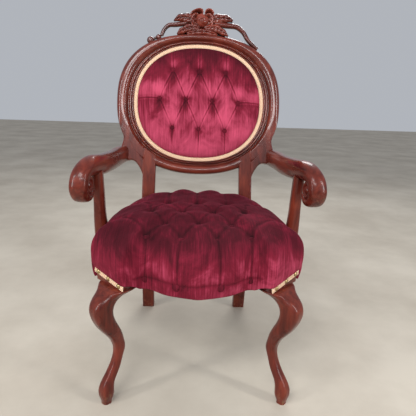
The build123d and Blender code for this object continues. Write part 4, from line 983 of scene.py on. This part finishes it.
class CHAIR_OT_gimp(bpy.types.Operator):
    """Gimp braid round the back cushion, behind it and on the knees"""

    bl_idname = "armchair.gimp"
    bl_label = "Gimp braid"

    # Braids of the oval, in front and behind: name, half size, level, side of the back and solid
    rounds = (
        ("back_gimp_braid", (208.4, 186.4), 7.6, 1, "back_gimp"),
        ("outside_gimp_braid", (219.5, 197.5), -18.0, -1, "outside_back_gimp"),
    )
    oval_width = 11.0
    knee_width = 14.5
    knee_half_length = 56.0
    knee_steps = 8
    knee_proud = 1.9

    def twist(self, width):
        """One crossing of the braid's two cords, between its two edge cords."""
        form = Form()
        for lean in (1, -1):
            rings = []
            for k in range(7):
                t = k / 6.0 * 2 - 1
                thick = 1.35 * math.sqrt(max(1 - t * t, 0.03))
                middle = Vector((t * 2.6, lean * t * width * 0.42, 1.6 + 0.5 * lean * math.cos(t * 1.5)))
                rings.append([(middle + Vector((thick * c, 0.0, thick * s))) * MM for c, s in circle(8)])
            form.loft(rings)
        for edge in (1, -1):
            rings = []
            for k in range(5):
                t = k / 4.0 * 2 - 1
                thick = 1.2 * math.sqrt(max(1 - t * t, 0.05))
                middle = Vector((t * 2.4, edge * width * 0.44, 1.3))
                rings.append([(middle + Vector((0.0, thick * c, thick * s))) * MM for c, s in circle(8)])
            form.loft(rings)
        return form.mesh("twist_form", finish("gimp_braid"))

    def lay(self, context, name, path, facing, width, closed, cad):
        """Braid on a woven strip along a path."""
        pitch = context.scene.armchair_cover.braid_pitch
        piece = spread_form(name, path, [facing] * len(path), self.twist(width), pitch, closed)
        strip = Form()
        rings = []
        count = len(path)
        for i, spot in enumerate(path):
            before = path[i - 1] if closed or i else path[0]
            after = path[(i + 1) % count] if closed or i < count - 1 else path[-1]
            side = facing.cross((after - before).normalized())
            rings.append([
                spot + side * (a * width / 2 * MM) + facing * (b * MM)
                for a, b in ((-1.0, -1.8), (1.0, -1.8), (0.96, 0.9), (0.0, 1.3), (-0.96, 0.9))
            ])
        strip.loft(rings, closed)
        under = strip.mesh(name + ".strip", finish("gimp_braid"))
        joined = bmesh.new()
        joined.from_mesh(piece.data)
        joined.from_mesh(under.data)
        joined.to_mesh(piece.data)
        joined.free()
        bpy.data.objects.remove(under)
        piece.data.polygons.foreach_set("use_smooth", [True] * len(piece.data.polygons))
        settle(piece, "gimp_braid", cad)

    def execute(self, context):
        turns = [2 * math.pi * k / 360 for k in range(360)]
        for name, half_size, level, side, cad in self.rounds:
            path = [panel(*oval_point(t, *half_size, OVAL_RISE), level) for t in turns]
            self.lay(context, name, path, BACK_FRONT * side, self.oval_width, True, cad)
        steps = range(-self.knee_steps, self.knee_steps + 1)
        for hand, label in HANDS:
            flip = Vector((hand, 1.0, 1.0))
            runs = [self.knee_half_length * k / self.knee_steps for k in steps]
            path = [knee_point(flip, along, self.knee_proud) for along in runs]
            self.lay(
                context, f"knee_gimp_braid_{label}", path, KNEE_FACING * flip,
                self.knee_width, False, f"knee_gimp_{label}",
            )
        return {"FINISHED"}


class CHAIR_OT_nails(bpy.types.Operator):
    """Domed nails in the knee strips"""

    bl_idname = "armchair.nails"
    bl_label = "Nails"

    # Radius and height of the nail's section
    profile = (
        (0.9, -9.0), (1.0, -0.2), (5.9, -0.2), (6.3, 0.3),
        (5.7, 1.5), (4.2, 2.9), (2.1, 3.7), (0.3, 3.9),
    )
    places = (-42.0, 0.0, 42.0)
    proud = 4.2

    def execute(self, context):
        spots = []
        facings = []
        for hand, _ in HANDS:
            flip = Vector((hand, 1.0, 1.0))
            spots += [knee_point(flip, along, self.proud) for along in self.places]
            facings += [KNEE_FACING * flip] * len(self.places)
        form = turned("nail_form", self.profile, 20, finish("antique_brass"))
        piece = spread_form("knee_nail_set", spots, facings, form)
        settle(piece, "antique_brass", "gimp_nails")
        return {"FINISHED"}


class CHAIR_OT_ring(bpy.types.Operator):
    """Moulded oval ring in its four sawn segments, with the ears that take the arms"""

    bl_idname = "armchair.ring"
    bl_label = "Oval ring"

    degrees_per_step = 1.1
    # Where the ear joins the band, the front of the band is worked flat at this level
    flat_level = 15.0
    flat_above = 9.5
    flat_lane = 0.85
    # Levels of the ear's edge: how far forward and how far drawn in
    ear_levels = ((-15.8, 4.0), (-14.6, 1.4), (-11.0, 0.0), (10.0, 0.0), (13.6, 1.6), (15.4, 5.0))

    def lane(self, turn, place):
        """Point between two of the ring's ovals."""
        first = min(max(int(place), 0), len(OVALS) - 2)
        part = place - first
        # The ring is fuller above its middle than below it
        slim = math.sin(turn) < 0.0
        a = oval_point(turn, *OVALS[first][:3]) if slim else oval_point(turn, *OVALS[first])
        b = oval_point(turn, *OVALS[first + 1])
        return a[0] + (b[0] - a[0]) * part, a[1] + (b[1] - a[1]) * part

    def segment(self, span):
        """Skin of one segment between two angles in degrees."""
        form = Form()
        steps = max(int((span[1] - span[0]) / self.degrees_per_step), 8)
        profile = through(RING_PROFILE, 3, True)
        rings = []
        for k in range(steps + 1):
            turn = math.radians(span[0] + (span[1] - span[0]) * k / steps)
            below = math.degrees(math.asin(math.sin(turn)))
            flat = float(step(-2.0, -20.0, below) * step(-51.0, -44.0, below))
            ring = []
            for place, level in profile:
                if level > self.flat_above and place < self.flat_lane:
                    level += (self.flat_level - level) * flat
                ring.append(panel(*self.lane(turn, place), level))
            rings.append(ring)
        form.loft(rings)
        return form

    def ear(self, form, hand):
        """Flared ear between the band, the post and the arm."""
        outline = through(((256.0, -88.0), (246.0, -114.0), (252.0, -142.0)), 3)
        outline += through(((253.0, -196.0), (214.0, -191.0), (192.0, -214.0), (178.0, -246.0)), 4)
        outline += [(166.0, -246.0), (168.0, -196.0), (206.0, -150.0), (238.0, -90.0)]
        form.board([(hand * u, v) for u, v in outline], self.ear_levels)

    def execute(self, context):
        wood = finish("mahogany_oval")
        upright = finish("mahogany_stile")
        for name, span, hand, material, cad in (
            ("oval_top_rail", TOP_RAIL_SPAN, 0, wood, "back_top_rail"),
            ("oval_bottom_rail", BOTTOM_RAIL_SPAN, 0, wood, "back_bottom_rail"),
            ("oval_stile_right", RIGHT_STILE_SPAN, 1, upright, "back_stile_right"),
            ("oval_stile_left", LEFT_STILE_SPAN, -1, upright, "back_stile_left"),
        ):
            form = self.segment(span)
            if hand:
                self.ear(form, hand)
            settle(form.mesh(name, material), "polished_hardwood", cad)
        return {"FINISHED"}


class CHAIR_OT_arms(bpy.types.Operator):
    """Arms that sweep forward from the ears and roll over into scrolls"""

    bl_idname = "armchair.arms"
    bl_label = "Arms"

    def eye(self, form, flip):
        """Carved eye that closes the scroll, with a groove round its boss."""
        axis = Vector((math.cos(SCROLL_HEADING), math.sin(SCROLL_HEADING), 0.0))
        level = Vector((math.sin(SCROLL_HEADING), -math.cos(SCROLL_HEADING), 0.0))
        section = list(SCROLL_PROFILE) + [(radius, -reach) for radius, reach in reversed(SCROLL_PROFILE)]
        rings = []
        for radius, reach in section:
            ring = []
            for c, s in circle(40):
                spot = SCROLL_EYE + axis * reach + (level * c + Vector((0, 0, s))) * radius
                ring.append(spot * flip * MM)
            rings.append(ring)
        form.loft(rings)

    def sweep(self, form, flip):
        """Rounded bar through the stations of the arm."""
        power = 2 / ARM_FULLNESS
        rings = []
        for x, y, z, heading, pitch, width, height in through(ARM_STATIONS, 10):
            turn, dip = math.radians(heading), math.radians(pitch)
            side = Vector((math.cos(turn), math.sin(turn), 0.0))
            level = Vector((math.sin(turn), -math.cos(turn), 0.0))
            up = level * math.sin(dip) + Vector((0.0, 0.0, 1.0)) * math.cos(dip)
            ring = []
            for c, s in circle(36):
                a = math.copysign(abs(c) ** power, c) * width / 2
                b = math.copysign(abs(s) ** power, s) * height / 2
                ring.append((Vector((x, y, z)) + side * a + up * b) * MM * flip)
            rings.append(ring)
        form.loft(rings)

    def execute(self, context):
        for hand, label in HANDS:
            flip = Vector((hand, 1.0, 1.0))
            form = Form()
            self.sweep(form, flip)
            self.eye(form, flip)
            piece = form.mesh(f"scroll_arm_{label}", finish("mahogany_arm"))
            settle(piece, "polished_hardwood", f"arm_{label}")
        return {"FINISHED"}


class CHAIR_OT_crest(bpy.types.Operator):
    """Carved crest: an open rose between leaves, stems and berries"""

    bl_idname = "armchair.crest"
    bl_label = "Carved crest"

    # Height of the ring's top above the middle of the back, from which the crest is measured
    top = 231.5
    ground = ((-76, -6), (-58, 12), (-34, 28), (4, 38), (40, 28), (68, 12), (92, -6))
    ground_foot = [(60, -14), (4, -14), (-50, -14)]
    ground_levels = ((-10.0, 3.0), (-8.0, 0.0), (-4.0, 0.0), (-2.0, 3.0))
    # Leaves: spine, half widths along it, level
    leaves = (
        (((-8, 36), (-36, 50), (-64, 54), (-89, 43)), (9, 16, 17, 11, 2), 2.0),
        (((-6, 20), (-34, 20), (-58, 11), (-77, -2)), (8, 14, 14, 10, 3), 5.0),
        (((18, 36), (46, 50), (78, 56), (107, 49)), (9, 16, 17, 12, 5), 2.0),
        (((16, 20), (46, 22), (70, 12), (92, -2)), (8, 14, 14, 10, 3), 5.0),
        (((-44, -2), (5, 8), (56, -2)), (5, 10, 11, 10, 5), 6.0),
    )
    leaf_lobes = 3
    # Stems: line, radius at its start and its end
    stems = (
        (((-48, 36), (-80, 31), (-105, 28), (-121, 12), (-128, -6)), (8.0, 6.0)),
        (((-120, 6), (-132, -6), (-150, -16), (-164, -23)), (4.0, 4.0)),
        (((48, 38), (86, 34), (119, 31), (142, 15), (158, -10), (177, -29), (192, -40)), (9.5, 6.0)),
    )

    def petal(self, form, middle, turn, length, width, level, cup, hollow):
        """Cupped petal that opens outwards from the middle of the rose."""
        along = Vector((math.cos(turn), math.sin(turn)))
        side = Vector((-along.y, along.x))
        hub = Vector(middle) + along * length * 0.5
        skins = []
        for back, shares in ((0.0, (0.02, 0.3, 0.55, 0.75, 0.88, 0.96, 1.0)), (-5.0, (1.0, 0.6, 0.02))):
            for share in shares:
                # The front dips to its middle and rolls over at its edge
                dish = hollow * (0.4 - 1.4 * math.cos(min(share, 0.94) * math.pi / 1.88))
                lip = 4.0 * max(share - 0.92, 0.0) / 0.08
                loop = []
                for c, s in circle(24):
                    out = 0.5 - 0.5 * c
                    half = width / 2 * s * (0.55 + 0.6 * out)
                    spot = Vector(middle) + along * out * length + side * half
                    place = hub + (spot - hub) * share
                    rim = level + cup * out * share
                    if back == 0.0:
                        rim += dish - lip
                    loop.append(panel(place.x, place.y, rim + back * (1.0 + hollow / 4.0)))
                skins.append(loop)
        form.loft(skins)

    def along(self, points, steps):
        """Places on a smooth line: share of the line behind each, the place and its side."""
        line = through([(u, self.top + v) for u, v in points], steps)
        last = len(line) - 1
        for i, spot in enumerate(line):
            ahead = Vector(line[min(i + 1, last)]) - Vector(line[max(i - 1, 0)])
            yield i / last, Vector(spot), Vector((-ahead.y, ahead.x)).normalized()

    def leaf(self, form, spine, widths, level):
        """Carved leaf along a spine, with a sunk rib, veins, lobed edges and a thick back."""
        lobes = self.leaf_lobes
        rings = []
        for t, middle, side in self.along(spine, 14):
            where = t * (len(widths) - 1)
            low = min(int(where), len(widths) - 2)
            half = widths[low] + (widths[low + 1] - widths[low]) * (where - low)
            half *= 1 + 0.12 * math.sin(lobes * 2 * math.pi * t)
            fade = min(1.0, half / 9.0 + 0.15)
            ring = []
            for across in (-1.0, -0.94, -0.75, -0.55, -0.35, -0.15, 0.0, 0.15, 0.35, 0.55, 0.75, 0.94, 1.0):
                vein = 1.7 * math.sin(lobes * 4 * math.pi * (t - 0.22 * abs(across)))
                dome = 10.0 * (1 - across * across) ** 0.5 - 7.5 * math.exp(-((across / 0.16) ** 2))
                spot = middle + side * across * half
                ring.append(panel(spot.x, spot.y, level + (dome + vein * (1 - across * across)) * fade))
            for across in (0.6, -0.6):
                spot = middle + side * across * half
                ring.append(panel(spot.x, spot.y, level - 10.0 * fade))
            rings.append(ring)
        form.loft(rings)

    def stem(self, form, points, radii):
        """Round stem that tapers along its run."""
        rings = []
        for t, middle, side in self.along(points, 10):
            radius = radii[0] + (radii[1] - radii[0]) * t
            ring = []
            for c, s in circle(14):
                spot = middle + side * radius * c
                ring.append(panel(spot.x, spot.y, radius * 1.15 * s))
            rings.append(ring)
        form.loft(rings)

    def berry(self, form, u, v, radius):
        """Carved berry with a small dimple."""
        rings = []
        for k in range(10):
            angle = math.pi * (k + 0.15) / 9.3
            reach = radius * math.sin(angle)
            level = radius * math.cos(angle) * (0.86 if k == 0 else 1.0)
            rings.append([panel(u + reach * c, v + reach * s, level) for c, s in circle(18)])
        form.loft(rings)

    def bud(self, form, rose):
        """Tight bud in the middle of the rose."""
        rings = []
        for k in range(14):
            angle = math.pi / 2 * k / 13.3
            reach = 21.0 * math.cos(angle)
            ring = []
            for j in range(48):
                turn = 2 * math.pi * j / 48
                # Petal edges wrap round the bud in a spiral
                wrap = 1 + 0.09 * math.sin(3 * turn + k * 0.55) ** 3
                u = rose[0] + reach * wrap * math.cos(turn)
                v = rose[1] + reach * wrap * math.sin(turn)
                ring.append(panel(u, v, 9.0 + 19.0 * math.sin(angle) * wrap))
            rings.append(ring)
        form.loft(rings)

    def execute(self, context):
        form = Form()
        top = self.top
        outline = through(self.ground, 6) + self.ground_foot
        form.board([(u, top + v) for u, v in outline], self.ground_levels)
        rose = (5.0, top + 44.0)
        for turn in (-0.55, -1.57, -2.6, 0.35, 2.8):
            self.petal(form, rose, turn, 38.0, 38.0, 9.0, 5.0, 7.0)
        self.petal(form, (-4.0, top + 47.0), 2.0, 36.0, 53.0, 8.0, 4.0, 14.0)
        self.petal(form, (20.0, top + 44.0), 1.25, 41.0, 35.0, 8.0, 4.0, 14.0)
        self.bud(form, rose)
        for spine, widths, level in self.leaves:
            self.leaf(form, spine, widths, level)
        for points, radii in self.stems:
            self.stem(form, points, radii)
        self.berry(form, -138.0, top - 12.0, 9.5)
        self.berry(form, -164.0, top - 23.0, 12.5)
        piece = form.mesh("carved_crest", finish("mahogany_carved"))
        settle(piece, "polished_hardwood", "crest_carving")
        return {"FINISHED"}


class CHAIR_OT_frame(bpy.types.Operator):
    """Finishes of the pieces that keep their solid shape"""

    bl_idname = "armchair.frame"
    bl_label = "Frame finishes"

    finishes = {
        "mahogany_upright": (
            "front_leg_left", "front_leg_right", "rear_post_left", "rear_post_right",
            "arm_post_left", "arm_post_right", "side_rail_left", "side_rail_right",
        ),
        "beech": (
            "corner_blocks", "rail_dowels",
            "ring_dowels", "post_dowels", "arm_dowels", "crest_dowels",
        ),
        "mahogany_oval": ("front_rail", "rear_rail"),
        "hessian": ("seat_burlap", "back_burlap"),
        "black_cambric": ("dust_cover",),
        "spring_steel": ("seat_springs", "spring_clips", "arm_post_screws", "corner_block_screws"),
    }

    def execute(self, context):
        for name, cad_names in self.finishes.items():
            for cad in cad_names:
                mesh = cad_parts[cad].data
                mesh.materials.clear()
                mesh.materials.append(finish(name))
        return {"FINISHED"}


class CHAIR_OT_stage(bpy.types.Operator):
    """Floor, soft light and the camera"""

    bl_idname = "armchair.stage"
    bl_label = "Stage"

    # Soft boxes: name, place, aim, width and height, power in watts
    lamps = (
        ("key_box", (-0.9, -2.0, 2.7), (0.0, 0.0, 0.6), (1.4, 0.9), 43.0),
        ("front_box", (-0.1, -2.2, 1.8), (0.0, 0.2, 0.75), (1.7, 0.22), 18.0),
        ("right_box", (1.9, -1.3, 1.2), (0.0, 0.1, 0.7), (0.22, 1.7), 22.0),
        ("left_box", (-1.9, -1.3, 1.2), (0.0, 0.1, 0.7), (0.22, 1.7), 20.0),
        ("rear_box", (0.6, 2.2, 2.4), (0.0, 0.0, 0.7), (1.6, 0.8), 30.0),
    )
    floor_half = 12
    # Camera at the photograph's place, in millimetres, with its direction, roll and lens
    camera_place = Vector((-27.25, -1223.99, 767.08))
    camera_ahead = Vector((0.04568, 0.96828, -0.24567))
    camera_roll = math.radians(1.9)
    focal_length = 37.03
    sensor_width = 36.0

    def lamp(self, name, place, aim, size, power):
        """Soft box that looks at a point."""
        light = bpy.data.lights.new(name, "AREA")
        light.shape = "RECTANGLE"
        light.size, light.size_y = size
        light.energy = power
        holder = bpy.data.objects.new(name, light)
        holder.location = place
        holder.rotation_euler = (Vector(aim) - Vector(place)).to_track_quat("-Z", "Y").to_euler()
        bpy.context.scene.collection.objects.link(holder)

    def floor(self, scene):
        """Plain pale floor."""
        half = self.floor_half
        corners = [(-half, -half, 0), (half, -half, 0), (half, half, 0), (-half, half, 0)]
        mesh = bpy.data.meshes.new("studio_floor")
        mesh.from_pydata(corners, [], [(0, 1, 2, 3)])
        mesh.materials.append(finish("pale_concrete"))
        floor = bpy.data.objects.new("studio_floor", mesh)
        scene.collection.objects.link(floor)

    def room(self, scene):
        """Even grey light from all round."""
        world = bpy.data.worlds.new("soft_room")
        world.use_nodes = True
        join(world.node_tree, world.node_tree.nodes["Background"], {
            "Color": (*linear("#B9BDC4"), 1.0), "Strength": 0.9,
        })
        scene.world = world

    def camera(self, scene):
        """Camera at the photograph's place, slightly rolled."""
        lens = bpy.data.cameras.new("view")
        lens.sensor_width = self.sensor_width
        lens.lens = self.focal_length
        forward = self.camera_ahead.normalized()
        right = forward.cross(Vector((0.0, 0.0, 1.0))).normalized()
        up = right.cross(forward)
        roll = self.camera_roll
        across = right * math.cos(roll) + up * math.sin(roll)
        upward = up * math.cos(roll) - right * math.sin(roll)
        turn = Matrix((across, upward, -forward)).transposed().to_4x4()
        holder = bpy.data.objects.new("view", lens)
        holder.matrix_world = Matrix.Translation(self.camera_place * MM) @ turn
        scene.collection.objects.link(holder)
        scene.camera = holder

    def execute(self, context):
        scene = context.scene
        self.floor(scene)
        self.room(scene)
        for lamp in self.lamps:
            self.lamp(*lamp)
        self.camera(scene)
        scene.view_settings.view_transform = "Standard"
        return {"FINISHED"}


MAKERS = (
    CHAIR_OT_stage,
    CHAIR_OT_frame,
    CHAIR_OT_ring,
    CHAIR_OT_arms,
    CHAIR_OT_crest,
    CHAIR_OT_seat,
    CHAIR_OT_back,
    CHAIR_OT_buttons,
    CHAIR_OT_gimp,
    CHAIR_OT_nails,
)


class CHAIR_PT_pieces(bpy.types.Panel):
    """Sizes, colours and pieces of the chair"""

    bl_idname = "CHAIR_PT_pieces"
    bl_label = "Armchair"
    bl_space_type = "VIEW_3D"
    bl_region_type = "UI"
    bl_category = "Armchair"

    def draw(self, context):
        for group in (context.scene.armchair_cover, context.scene.armchair_wood):
            for key in group.__annotations__:
                self.layout.prop(group, key)
        for maker in MAKERS:
            self.layout.operator(maker.bl_idname)


CLASSES = (ArmchairCover, ArmchairWood, *MAKERS, CHAIR_PT_pieces)


def register():
    for part in CLASSES:
        bpy.utils.register_class(part)
    bpy.types.Scene.armchair_cover = PointerProperty(type=ArmchairCover)
    bpy.types.Scene.armchair_wood = PointerProperty(type=ArmchairWood)


def unregister():
    del bpy.types.Scene.armchair_wood
    del bpy.types.Scene.armchair_cover
    for part in reversed(CLASSES):
        bpy.utils.unregister_class(part)


def main():
    register()
    for maker in MAKERS:
        group, name = maker.bl_idname.split(".")
        getattr(getattr(bpy.ops, group), name)()


if __name__ == "__main__":
    main()
